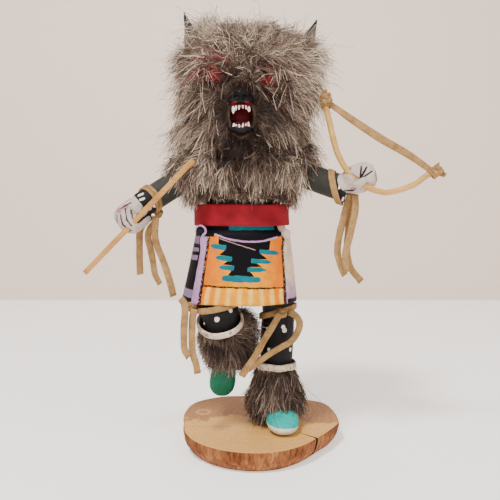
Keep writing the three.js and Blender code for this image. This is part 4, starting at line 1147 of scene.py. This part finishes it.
def gum_ridge(root, front, wide):
    """A red ridge round the front of a jaw, in which the teeth stand."""
    turn = np.linspace(-1.75, 1.75, 30)
    path = np.column_stack([HEAD_X + wide * np.sin(turn), front + 5.4 * (1 - np.cos(turn)),
                            np.full(30, root)])
    return painted(surface("gum", swept(path, 1.5, 1.6, (0, 0, 1), square=2), caps=True), "gum")


def nose_shape(x, y, z):
    """A nose pad with two nostrils and a cleft below them, from a ball's corner."""
    place = Vector((x * (3.9 - 0.9 * max(-z, 0)), y * 4.2, math.copysign(abs(z) ** 0.85, z) * 3.5))
    for side in (-1, 1):
        away = (place - Vector((side * 1.9, -3.6, -0.3))).length
        place.y += 2.4 * math.exp(-(away / 1.15) ** 2)
    if z < 0.2:
        place.y += 0.35 * math.exp(-(place.x / 0.3) ** 2)
    return place + Vector((HEAD_X - 0.2, -46.2, 180.7))


def teeth():
    """Two rows of small front teeth between long corner teeth, set round the gums."""
    share = np.arange(8) / 7
    meshes = []
    for root, way, front, wide, fang in UPPER_GUM, LOWER_GUM:
        for turn, tall, thick in ((0.2, 1.9, 0.52), (0.6, 2.1, 0.5), (1.06, fang, 0.8),
                                  (1.4, 2.2, 0.6), (1.68, 2.0, 0.6)):
            for side in (-1, 1):
                # Hand-carved teeth differ a little from side to side.
                length = way * tall * (1.1 if side * way > 0 else 0.85)
                thick *= 0.92
                radius = thick * np.sqrt(np.maximum(1 - share ** 1.9, 0.004))
                y = np.full(8, front + 5.4 * (1 - math.cos(turn)) - 0.6)
                stations = np.column_stack([
                    HEAD_X + side * (wide * math.sin(turn) + 0.3 * share ** 2), y,
                    root + way * 0.2 + length * share, radius, radius])
                meshes.append(surface("tooth", rings_of(stations, 12, 8), caps=True))
    return joined("teeth", meshes)


def kilt_ring(angle, height, inset):
    """A level ring of the kilt: tight at the waist, flared to the hem, folded at the corners."""
    table = np.array(((KILT_HEM, 31.2, 27.2, 2.6, -0.9, -1.0), (100, 28.3, 24.1, 2.5, 0.3, -0.5),
                      (117.4, 25.4, 22.0, 2.4, 1.0, 0), (119.8, 23.6, 19.5, 2.2, 0.6, 0),
                      (KILT_TOP, 23.6, 19.5, 2.2, 0, 0)))
    wide, deep, square, dx, dy = (np.interp(height, table[:, 0], table[:, k]) for k in range(1, 6))
    u, v = oval(angle, square)
    low = max(0.0, (118 - height) / 37)
    out = inset + low * 0.8 * np.sin(angle * 9 + 0.7) * np.maximum(0.0, np.sin(angle) + 0.35)
    for corner in (-2.42, -0.72):
        near = np.exp(-((angle - corner + math.pi) % (2 * math.pi) - math.pi) ** 2 / 0.012)
        out = out + near * (1.5 * math.exp(-((height - 114.5) / 3.2) ** 2) + 0.5 * low)
    hem = 0.5 * np.sin(angle * 3 + 1) * max(0.0, 1 - (height - KILT_HEM) / 12)
    return np.column_stack([WAIST_X + dx + u * (wide + out), WAIST_Y + dy + v * (deep + out),
                            height + np.abs(hem)])


def gathers():
    """The two upper corners of the kilt, gathered into small knots below the sash."""
    def pleated(centre, x, y, z):
        """A knob with six pleats, from a ball's corner."""
        pleat = 1 + 0.1 * math.sin(math.atan2(y, x) * 6)
        return Vector((x * 2.3 * pleat, y * 2.2 * pleat, z * 2.5)) + Vector(centre)

    strap = np.array(((-2.5, -0.8, -0.6), (-1.8, -1.6, 2.1), (0.3, -2.2, 3), (2.4, -2.2, 1.7),
                      (2.8, -2, -0.4), (1.3, -2.1, -2.5), (1.5, -1.5, -4.6), (2.1, -1.2, -7.6)))
    knob = (-31.9, -16.5, 118.6)
    strap = swept(even_path(knob + strap, 40), np.linspace(0.5, 1.9, 40), 0.6, (0, -1, 0))
    for name, code, mesh in (
            ("black", "#0d080d", ball("gather", 32, 20, partial(pleated, knob))),
            ("pale", "#cbb3ae", ball("gather", 32, 20, partial(pleated, (12.3, -16.9, 117.4)))),
            ("strap", "#9c7797", surface("strap", strap, caps=True))):
        piece("kilt_gather_" + name, mesh, [brushed_paint("gathered_leather_" + name, code)],
              "kilt_leather")


# ------------------------------------------------------------------ operators


class DOLL_OT_stage(bpy.types.Operator):
    """Sets up the camera, a pale table with a wall behind it, and soft light"""
    bl_idname = "doll.stage"
    bl_label = "Stage"

    def execute(self, context):
        scene = context.scene
        camera = put("camera", bpy.data.cameras.new("camera"))
        camera.location = (-0.0063, -0.300, 0.1265)
        camera.rotation_euler = (math.radians(86.45), 0, 0)
        camera.data.sensor_width, camera.data.lens, camera.data.clip_start = 36, 39.46, 0.01
        scene.camera = camera
        far = 0.52
        for name, corners, code, glow in (
                ("table", ((-3, -2, 0), (3, -2, 0), (3, far, 0), (-3, far, 0)), "#f6f2ee", 0.58),
                ("wall", ((-3, far, -0.2), (3, far, -0.2), (3, far, 3), (-3, far, 3)), "#e2cfc0",
                 0.2)):
            mesh = bpy.data.meshes.new(name)
            mesh.from_pydata(corners, [], [(0, 1, 2, 3)])
            mesh.materials.append(stage_paint(name, code, glow))
            put(name, mesh)
        for name, place, size, power in (
                ("key", (-0.30, -0.42, 0.95), 0.16, 13.0), ("fill", (0.55, -0.45, 0.65), 0.6, 3.5),
                ("front", (-0.1, -1.1, 0.45), 0.9, 6.0)):
            light = put(name, bpy.data.lights.new(name, "AREA"))
            light.data.size, light.data.energy, light.location = size, power, place
            aim = Vector((-0.005, 0, 0.12)) - light.location
            light.rotation_euler = aim.to_track_quat("-Z", "Y").to_euler()
        scene.world = bpy.data.worlds.new("room")
        scene.world.use_nodes = True
        sky = scene.world.node_tree.nodes["Background"].inputs
        sky["Color"].default_value, sky["Strength"].default_value = linear("#fbf4ee"), 0.42
        return {"FINISHED"}


class DOLL_OT_laces(bpy.types.Operator):
    """Hangs the free lace ends and stretches the bowstring"""
    bl_idname = "doll.laces"
    bl_label = "Laces and Bowstring"

    def execute(self, context):
        sizes = context.scene.doll_sizes
        width, thick = sizes.lace_width / MM, sizes.lace_thickness / MM
        tan = suede(context.scene.doll_colours.suede)

        def declare(name, rings, node):
            """Puts one lace on the doll and hides the solid it stands for."""
            cord = piece(name, surface(name, rings, caps=True), [tan], "suede", node)

        for count, (name, route) in enumerate(LACES.items()):
            path = even_path(route, 24)
            rings = lace_rings(path, width, thick, count, 0.5 * math.sin(count * 2.3))
            # The cut end is a slant.
            slant = (np.arange(rings.shape[1]) / rings.shape[1] - 0.5) * 1.6
            rings[-1, :, 2] += slant * (1 if count % 2 else -1)
            declare("hanging_" + name, rings, name)
        path = even_path(BOWSTRING, 30)
        path[:, 2] += 0.35 * np.sin(np.linspace(0, 9, len(path)))
        swell = 0.72 + 0.4 * np.sin(np.linspace(0.15, math.pi - 0.15, len(path)))
        declare("bow_lace", swept(path, swell * width, swell * thick, (0, -1, 0)), "bow_string")
        return {"FINISHED"}


class DOLL_OT_ties(bpy.types.Operator):
    """Ties a lace round each wrist and below each knee, and knots the bowstring"""
    bl_idname = "doll.ties"
    bl_label = "Ties and Knots"

    def execute(self, context):
        sizes = context.scene.doll_sizes
        width, thick = sizes.lace_width / MM, sizes.lace_thickness / MM
        tan = bpy.data.materials["tan_suede"]
        for seed, (name, (centre, run, inner, lean, at, size, places)) in enumerate(TIES.items()):
            # A doubled tie is a split lace.
            tight = width * (0.5 if len(places) > 1 else 0.9)
            parts = [tie_loop(np.array(centre) + unit(run) * place, run, inner + thick / 2 + 0.1,
                              lean, tight, thick) for place in places]
            parts.append(knot(at, width, thick, seed, size))
            piece("suede_" + name, joined(name, parts), [tan], "suede", name)
        for name, at, way, tail in (
                ("bow_lashing_top", (32.1, BOW_Y, 184.4), (0.14, 0, -1), (30.8, BOW_Y - 2, 189.6)),
                ("bow_lashing_low", (88.4, BOW_Y, 149.2), (0.8, 0, 0.6), (92.6, BOW_Y - 2, 147))):
            at = np.array(at)
            end = even_path([at + (0, -2.8, 0), (at + tail) / 2, tail], 10)
            parts = [winding(at, way, sizes.stave_width / MM / 2, thick),
                     knot(at + (0, -2.6, 0), width * 0.8, thick, 5, 0.8),
                     surface(name, lace_rings(end, width * 0.8, thick, 9, 0.6), caps=True)]
            piece("suede_" + name, joined(name, parts), [tan], "suede", name)
        return {"FINISHED"}


class DOLL_OT_slab(bpy.types.Operator):
    """Cuts the slice of branch with its bark and its split"""
    bl_idname = "doll.slab"
    bl_label = "Branch Slice"

    def execute(self, context):
        turn = circle(220)
        c, s = np.cos(turn), np.sin(turn)
        rim = np.array([(r * math.cos(i * math.pi / 9), r * math.sin(i * math.pi / 9), 0)
                        for i, r in enumerate(SLAB_RADII)])
        outline = even_path(np.vstack([rim[-2:], rim, rim[:3]]), 2200)
        angle = np.unwrap(np.arctan2(outline[:, 1], outline[:, 0]))
        base = np.interp(turn, angle, np.hypot(outline[:, 0], outline[:, 1]))
        rows = [np.column_stack([0.4 * c, 0.4 * s, 0 * c])]
        # Height, inset from the upper rim and roughness of the bark there.
        for height, inset, rough in (
                (0, 8, 0), (0, 5.2, 0.1), (0.7, 4.3, 0.5), (2, 3.3, 1), (3.5, 2.2, 1), (5, 1.3, 1),
                (6.5, 0.8, 1), (8, 0.4, 1), (9.5, 0.1, 1), (10.6, 0.1, 0.8), (11.3, 0.4, 0.3),
                (SLAB_THICK, 0.9, 0.05), (SLAB_THICK, 4, 0)):
            r = base - inset + rough * (0.55 * ripple(c * 26, s * 26, height * 0.05)
                                        + 0.5 * ripple(c * 5, s * 5, height * 0.22 + 4))
            rows.append(np.column_stack([r * c, r * s, np.full(len(c), height)]))
        rows += [rows[-1] * (share, share, 1) for share in (0.75, 0.5, 0.25, 0.01)]
        mesh = surface("branch_slice", np.array(rows), caps=True)
        low, high = 0.2, SLAB_THICK - 0.35
        for polygon in mesh.polygons:
            on_bark = low < polygon.center.z / MM < high
            polygon.material_index, polygon.use_smooth = int(on_bark), on_bark
        for item in (sawn_face(), bark(), shaded_split_wood()):
            mesh.materials.append(item)
        slab, wedge = put("branch_slice", mesh), put("split", split_wedge())
        # The split's faces take the third finish: nearly black painted shade inside the crack.
        for polygon in wedge.data.polygons:
            polygon.material_index = 2
        cut = slab.modifiers.new("split", "BOOLEAN")
        cut.object, cut.solver = wedge, "EXACT"
        mesh = settled(slab)
        bpy.data.objects.remove(wedge)
        piece("branch_slice", mesh, [], "slab_wood", "base_slab")
        return {"FINISHED"}


class DOLL_OT_body(bpy.types.Operator):
    """Carves and paints the body, the legs and the shoes"""
    bl_idname = "doll.body"
    bl_label = "Body and Legs"

    def execute(self, context):
        colours = context.scene.doll_colours
        mesh = worn_copy("figure", 1.0, 6)
        co = corners_of(mesh)[0]
        x, _, z = co.T
        lifted, none = x < -6.2, 50.0
        dots = ((2.7, -5, 65.4, 1.1), (11.8, -7, 66.6, 1.25), (12.6, -7, 64.6, 1.5),
                (18.5, 1.2, 66.9, 1.4), (16.4, -3.8, 53.4, 1.3), (4, -5.6, 54, 1.1),
                (-28.3, -24.1, 78.1, 1.3), (-23, -26.1, 74.4, 1.4), (-16, -24.1, 78.7, 1.3),
                (-30.5, -22, 71.4, 1.1), (0.5, 6, 60, 1.3), (9, 11.4, 66, 1.3), (17, 8, 58, 1.3))
        under = (co - np.array((-19.5, 6, 49.5))) @ unit((0.12, -1, 0.18)) + 8.6 + (49.5 - z) * 0.06
        mark(mesh, dots=from_balls(co, dots),
             black=np.where(lifted, z - 92, np.maximum(z - 73.6 + (x - 9) * 0.06, 44 - z)),
             shoe=np.where(lifted, none, z - 31), lifted_shoe=np.where(lifted, z - 52, none),
             sole=np.where(lifted, none, z - SOLE - 4.8 + 0.05 * (x - 10)),
             lifted_sole=np.where(lifted & (z < 50), under, none))
        # The lifted shoe's darker green stands for painted shade on its turquoise.
        paint = brushed_paint("painted_figure", colours.limb, (
            ("black", "#0f0c0d"), ("dots", "#dcd8d0"), ("shoe", colours.shoe),
            ("lifted_shoe", colours.lifted_shoe), ("sole", "#cdc6ba"), ("lifted_sole", "#a98c6b")))
        piece("painted_body", mesh, [paint], "painted_wood", "figure")
        return {"FINISHED"}


class DOLL_OT_arms(bpy.types.Operator):
    """Carves and paints the arms and the fists"""
    bl_idname = "doll.arms"
    bl_label = "Arms and Fists"

    def execute(self, context):
        paint = brushed_paint("painted_arm", context.scene.doll_colours.limb, (
            ("black", "#100d0e"), ("dots", "#dcd6cf"), ("fist", "#b5a69c"), ("smudge", "#9a6f73"),
            ("lines", "#1d0b0e")))
        # For each arm: directions of arm and hand, wrist, then brush strokes in x and z.
        for side, run, tie, hand_run, wrist, dots, lines, smudges in (
                ("right", (-0.79, -0.26, -0.55), (-56.4, -11.8, 136.2), (-0.8, -0.2, -0.6), 8,
                 (((-63.2, 137), (-61.2, 137.8)), ((-62.2, 134.7), (-60.4, 135.4)),
                  ((-57.4, 130.8), (-57.2, 129.4)), ((-55.6, 132.2), (-55.4, 130.8))),
                 (((-66.4, 132.9), (-66.2, 128.4), 0.4), ((-66.2, 128.4), (-64.6, 123.4), 0.5),
                  ((-69.4, 130.4), (-68.6, 125), 0.4), ((-68.6, 125), (-66.1, 121.4), 0.5),
                  ((-71.9, 127.4), (-70.8, 122), 0.4), ((-70.8, 122), (-68, 119.6), 0.5),
                  ((-74, 127), (-74.4, 120.8), 0.3), ((-66.8, 133.4), (-72, 130.4), 0.35),
                  ((-55.4, 130), (-62.9, 123.3), 0.85)),
                 ((-69.5, -22.6, 131.4, 1.9), (-72.4, -21, 129, 1.7))),
                ("left", (0.91, -0.3, -0.29), (38, -11.3, 142.4), (1, -0.2, 0.12), 6.4,
                 (((39.4, 142), (39.2, 140.6)), ((43.6, 137), (43.4, 135.4)),
                  ((41.6, 135.8), (41.4, 134.4)), ((41.6, 148), (42, 147))),
                 (((48.9, 144.9), (49.7, 151.9), 0.45), ((48.9, 144.9), (52.4, 151.2), 0.5),
                  ((48.9, 144.9), (55.2, 149), 0.45), ((42.8, 149), (48.9, 144.3), 0.6),
                  ((48.9, 144.9), (46.4, 139.2), 0.35), ((41.6, 139.4), (46.4, 139.2), 0.35),
                  ((57.3, 148.6), (58.2, 144), 0.3)),
                 ((45, -21.5, 139.2, 1.8), (50, -22.4, 138.8, 1.6)))):
            mesh = worn_copy("arm_" + side, 0.75, 4)
            co = corners_of(mesh)[0]
            off = co - np.array(tie)
            lines = from_strokes(co, lines)
            mark(mesh, black=0.8 - off @ unit(run), lines=lines, smudge=from_balls(co, smudges),
                 fist=np.minimum(wrist - off @ unit(hand_run),
                                 from_balls(co, [(45.4, -18, 144.8, 6.9)])),
                 dots=from_strokes(co, [(*ends, 0.55) for ends in dots]))
            sink(mesh, 0.5 * np.exp(-((lines + 0.4) / 0.6) ** 2))
            piece("painted_arm_" + side, mesh, [paint], "painted_wood", "arm_" + side)
        piece("thumbs", joined("thumbs", [
            thumb((-60.8, -22.6, 128.6), (-64.6, -24.4, 131.2), (-66.4, -24.2, 130)),
            thumb((45.4, -21.6, 142), (49, -24.2, 143.2), (52, -24.4, 145.4))]),
            [paint], "painted_wood")
        return {"FINISHED"}


class DOLL_OT_head(bpy.types.Operator):
    """Carves the wolf's head with its nose, jaws, teeth and painted eyes"""
    bl_idname = "doll.head"
    bl_label = "Wolf Head"

    # Jaw sections: how far forward, middle height, half width, half height.
    UPPER = ((-8, 186, 13, 9.5), (-20, 184.8, 10.6, 8.2), (-29, 183, 7.6, 6),
             (-37, 181.4, 5.9, 4.4), (-43, 180.2, 4.9, 3.3), (-47, 179.6, 3.9, 2.6),
             (-48.4, 179.3, 2.8, 1.8))
    LOWER = ((-8, 171.4, 12, 5.5), (-20, 169.8, 9.2, 4), (-30, 168.1, 6.6, 2.9),
             (-38, 167, 5.3, 2.4), (-43, 166.6, 4.6, 2.1), (-45.6, 166.6, 3.3, 1.6))

    def execute(self, context):
        paint = brushed_paint("painted_head", linear("#070505"), (
            ("mouth", "#6c0f13"), ("gum", "#4e0b10"), ("eye", "#7d141c")), roughness=0.5)
        skull = worn_copy("head", 1.0, 8)
        co = corners_of(skull)[0]
        eyes = ((-21.6, -22.4, 196.6), (3.2, -21.6, 191.8))
        mark(skull, eye=from_balls(co, [(*eye, 7.4) for eye in eyes]), gum=9,
             mouth=np.where(co[:, 1] < -12, np.abs(co[:, 2] - 174) - 7, 9.0))
        # The thin parts in front are carved afresh.
        work = bmesh.new()
        work.from_mesh(skull)
        front = [f for f in work.faces if f.calc_center_median().y < -0.0215
                 and abs(f.calc_center_median().x / MM - HEAD_X) < 12]
        bmesh.ops.delete(work, geom=front, context="FACES")
        bmesh.ops.holes_fill(work, edges=[e for e in work.edges if e.is_boundary], sides=0)
        work.to_mesh(skull)
        work.free()
        parts = [outwards(skull), jaw("upper_jaw", self.UPPER, -1), jaw("lower_jaw", self.LOWER, 1),
                 throat(), *map(eyeball, eyes), tongue(),
                 *[gum_ridge(root, front, wide) for root, _, front, wide, _ in
                   (UPPER_GUM, LOWER_GUM)]]
        piece("wolf_head", joined("wolf_head", parts), [paint], "painted_head", "head")
        piece("nose_pad", ball("nose_pad", 48, 32, nose_shape), [nose_enamel()], "painted_head")
        piece("teeth", teeth(), [tooth_paint()], "painted_head")
        return {"FINISHED"}


class DOLL_OT_ears(bpy.types.Operator):
    """Cuts the two thin pointed ears"""
    bl_idname = "doll.ears"
    bl_label = "Ears"

    def execute(self, context):
        hide = ear_hide()
        # Middle, height and half width up each ear.
        for side, stations in (
                ("right", ((-36.6, 210, 5.6), (-37.2, 219, 4.4), (-38.6, 226.5, 2.8),
                           (-40.4, 231.5, 1.3), (-41.5, 235, 0.25))),
                ("left", ((23, 210, 5.6), (24.4, 219, 4.4), (26.1, 224.4, 2.8),
                          (28, 228, 1.4), (29.4, 231.2, 0.25)))):
            rings = rings_of([(x, 0.3 + 0.07 * (226 - z), z, half, 0.3 + half * 0.36)
                              for x, z, half in stations], 32, 40)
            # The ear is cupped: its front is hollow.
            for ring in rings:
                x, y = ring[:, 0], ring[:, 1]
                share = (x - x.mean()) / max(np.ptp(x) / 2, 0.1)
                ring[:, 1] += np.where(y < y.mean(), (1 - share ** 2) * np.ptp(y) * 0.45, 0)
            piece("pointed_ear_" + side, surface("ear", rings, caps=True), [hide], "ear_hide",
                  "ear_" + side)
        return {"FINISHED"}


class DOLL_OT_bow_and_reed(bpy.types.Operator):
    """Bends the bow's twig and splits the reed"""
    bl_idname = "doll.bow_and_reed"
    bl_label = "Bow and Reed"

    def execute(self, context):
        sizes = context.scene.doll_sizes
        step = np.arange(90)
        swell = 1 + 0.05 * ripple(step * 0.16, 0, 7)
        swell += sum(0.07 * np.exp(-((step - bud) / 1.3) ** 2) for bud in (21, 52, 74))
        wide = swell * sizes.stave_width / MM
        rings = swept(even_path(STAVE, 90), wide, wide, (0, -1, 0), square=2, sides=18)
        piece("bow_twig", surface("bow_twig", rings, caps=True),
              [peeled_reed("peeled_twig", "#d0a357", "#a67432", 0.6)], "reed", "bow_stave")
        path = even_path([REED[0], np.mean(REED, axis=0), REED[1]], 40)
        wide = (1 + 0.03 * ripple(np.arange(40) * 0.3, 5, 0)) * sizes.reed_width / MM
        rings = swept(path, wide, wide * 0.86, (0.25, -1, 0), square=5, sides=16)
        piece("split_reed", surface("split_reed", rings, caps=True),
              [peeled_reed("split_reed", "#c99548", "#996528", 0.8)], "reed", "reed")
        return {"FINISHED"}


class DOLL_OT_sash(bpy.types.Operator):
    """Wraps the red sash round the waist"""
    bl_idname = "doll.sash"
    bl_label = "Sash"

    def execute(self, context):
        columns = 200
        angle = circle(columns) - math.pi / 2
        c, s = np.cos(angle), np.sin(angle)
        u, v = oval(angle, 2.2)
        # Outer face from the lower edge up, over the top edge and back down inside.
        heights = np.linspace(SASH_LOW + 0.3, SASH_HIGH - 0.3, 14)
        rows = [*((0.0, height) for height in heights), (-0.5, SASH_HIGH), (-1.1, SASH_HIGH - 0.2),
                *((-1.3, height) for height in heights[::-1]), (-1.0, SASH_LOW), (-0.4, SASH_LOW)]
        edge = 0.3 * ripple(c * 1.4, s * 1.4, 9)
        grid = []
        for inset, height in rows:
            out = inset + 0.45 * ripple(c * 2, s * 2, height * 0.16)
            grid.append(np.column_stack([WAIST_X + 0.4 + u * (25.7 + out),
                                         WAIST_Y + v * (21.2 + out), height + edge]))
        uv = [[((j / columns - 0.5) * 150 / 200 + 0.5, (height - SASH_LOW) / 50)
               for j in range(columns + 1)] for _, height in rows]
        wrap = piece("sash_cloth", surface("sash_cloth", np.array(grid), loop=True, uv=uv),
                     [sash_cotton(context.scene.doll_colours.sash)], "sash_cloth", "sash")
        return {"FINISHED"}


class DOLL_OT_kilt(bpy.types.Operator):
    """Hangs the painted kilt below the sash"""
    bl_idname = "doll.kilt"
    bl_label = "Kilt"

    def execute(self, context):
        columns = 190
        angle = circle(columns) - math.pi / 2
        heights = [*np.linspace(KILT_HEM + 0.2, 117, 32), *np.linspace(118, KILT_TOP - 0.2, 8)]
        rows = [*((0.0, height) for height in heights), (-0.6, KILT_TOP),
                *((-1.2, height) for height in heights[::-1]), (-0.6, KILT_HEM)]
        grid = np.array([kilt_ring(angle, height, inset) for inset, height in rows])
        # The pattern keeps its size: columns are measured round the hem from the middle front.
        grid = np.roll(grid, -columns // 2, axis=1)
        steps = np.linalg.norm(grid[10] - np.roll(grid[10], -1, axis=0), axis=1)
        run = np.concatenate([[0], np.cumsum(steps)])
        uv = [[((place - run[-1] / 2) / 200 + 0.5, (height - KILT_HEM) / 50) for place in run]
              for _, height in rows]
        mesh = surface("painted_kilt", grid, loop=True, uv=uv)
        for polygon in mesh.polygons:
            out = (polygon.center / MM - Vector((WAIST_X, WAIST_Y, 0))) * Vector((1, 1, 0))
            polygon.material_index = 0 if out.dot(polygon.normal) > -0.1 else 1
        kilt = piece("painted_kilt", mesh, [
            kilt_leather(context.scene.doll_colours.panel), bpy.data.materials["tan_suede"]],
            "kilt_leather", "kilt")
        gathers()
        return {"FINISHED"}


class DOLL_OT_fur(bpy.types.Operator):
    """Dresses the head, the shoulders and the legs in fur"""
    bl_idname = "doll.fur"
    bl_label = "Fur"

    def execute(self, context):
        sizes = context.scene.doll_sizes
        coat, ground = fur_coat(context.scene.doll_colours), pelt_ground()
        drawn = 1.0
        # Coat, solid, its facets, combing, and the count of its short and of its long hairs.
        for name, node, facet, combing, short, long in (
                ("hood", "fur_hood", 1.7, comb_hood, 26000, 15500),
                ("mantle", "fur_mantle", 1.6, comb_mantle, 24000, 11000),
                ("legging_left", "leg_fur_left", 1.25, comb_left, 11000, 3700),
                ("legging_right", "leg_fur_right", 1.25, comb_right, 11000, 3700)):
            pelt = worn_copy(node, facet, 5)
            combing(pelt)
            area = covered(pelt)
            coats = COATS["legs" if name.startswith("leg") else "body"]
            for i, (kind, shorts, longs, length, lock, *habits) in enumerate(coats):
                grow(name + kind, pelt, coat, sizes.hair_seed + 3 * i,
                     (short * shorts + long * longs) * drawn / area,
                     (sizes.under_hair if shorts else sizes.guard_hair) * length,
                     sizes.hair_width, lock * MM, *habits)
            piece(name + "_pelt", pelt, [ground], "fur", node)
        collar = muzzle_collar()
        grow("muzzle_ruff", collar, coat, sizes.hair_seed, 5500 * drawn / covered(collar),
             sizes.under_hair, sizes.hair_width, 4 * MM, 0.3, 0.3, 0.35, 0.2, 0.25, 0)
        piece("muzzle_collar", collar, [ground], "fur")
        skin_cuffs()
        return {"FINISHED"}


class DOLL_PT_panel(bpy.types.Panel):
    bl_label = "Kachina Doll"
    bl_idname = "DOLL_PT_panel"
    bl_space_type = "VIEW_3D"
    bl_region_type = "UI"
    bl_category = "Doll"

    def draw(self, context):
        for group in (context.scene.doll_sizes, context.scene.doll_colours):
            box = self.layout.box()
            for name in group.__annotations__:
                box.prop(group, name)
        for operator in OPERATORS:
            self.layout.operator(operator.bl_idname)


OPERATORS = (DOLL_OT_stage, DOLL_OT_laces, DOLL_OT_ties, DOLL_OT_slab, DOLL_OT_body, DOLL_OT_arms,
             DOLL_OT_head, DOLL_OT_ears, DOLL_OT_bow_and_reed, DOLL_OT_sash, DOLL_OT_kilt,
             DOLL_OT_fur)
CLASSES = (DollSizes, DollColours, *OPERATORS, DOLL_PT_panel)


def register():
    for item in CLASSES:
        bpy.utils.register_class(item)
    bpy.types.Scene.doll_sizes = PointerProperty(type=DollSizes)
    bpy.types.Scene.doll_colours = PointerProperty(type=DollColours)


def unregister():
    del bpy.types.Scene.doll_colours
    del bpy.types.Scene.doll_sizes
    for item in reversed(CLASSES):
        bpy.utils.unregister_class(item)


def main():
    register()
    for operator in OPERATORS:
        group, name = operator.bl_idname.split(".")
        getattr(getattr(bpy.ops, group), name)()


if __name__ == "__main__":
    main()
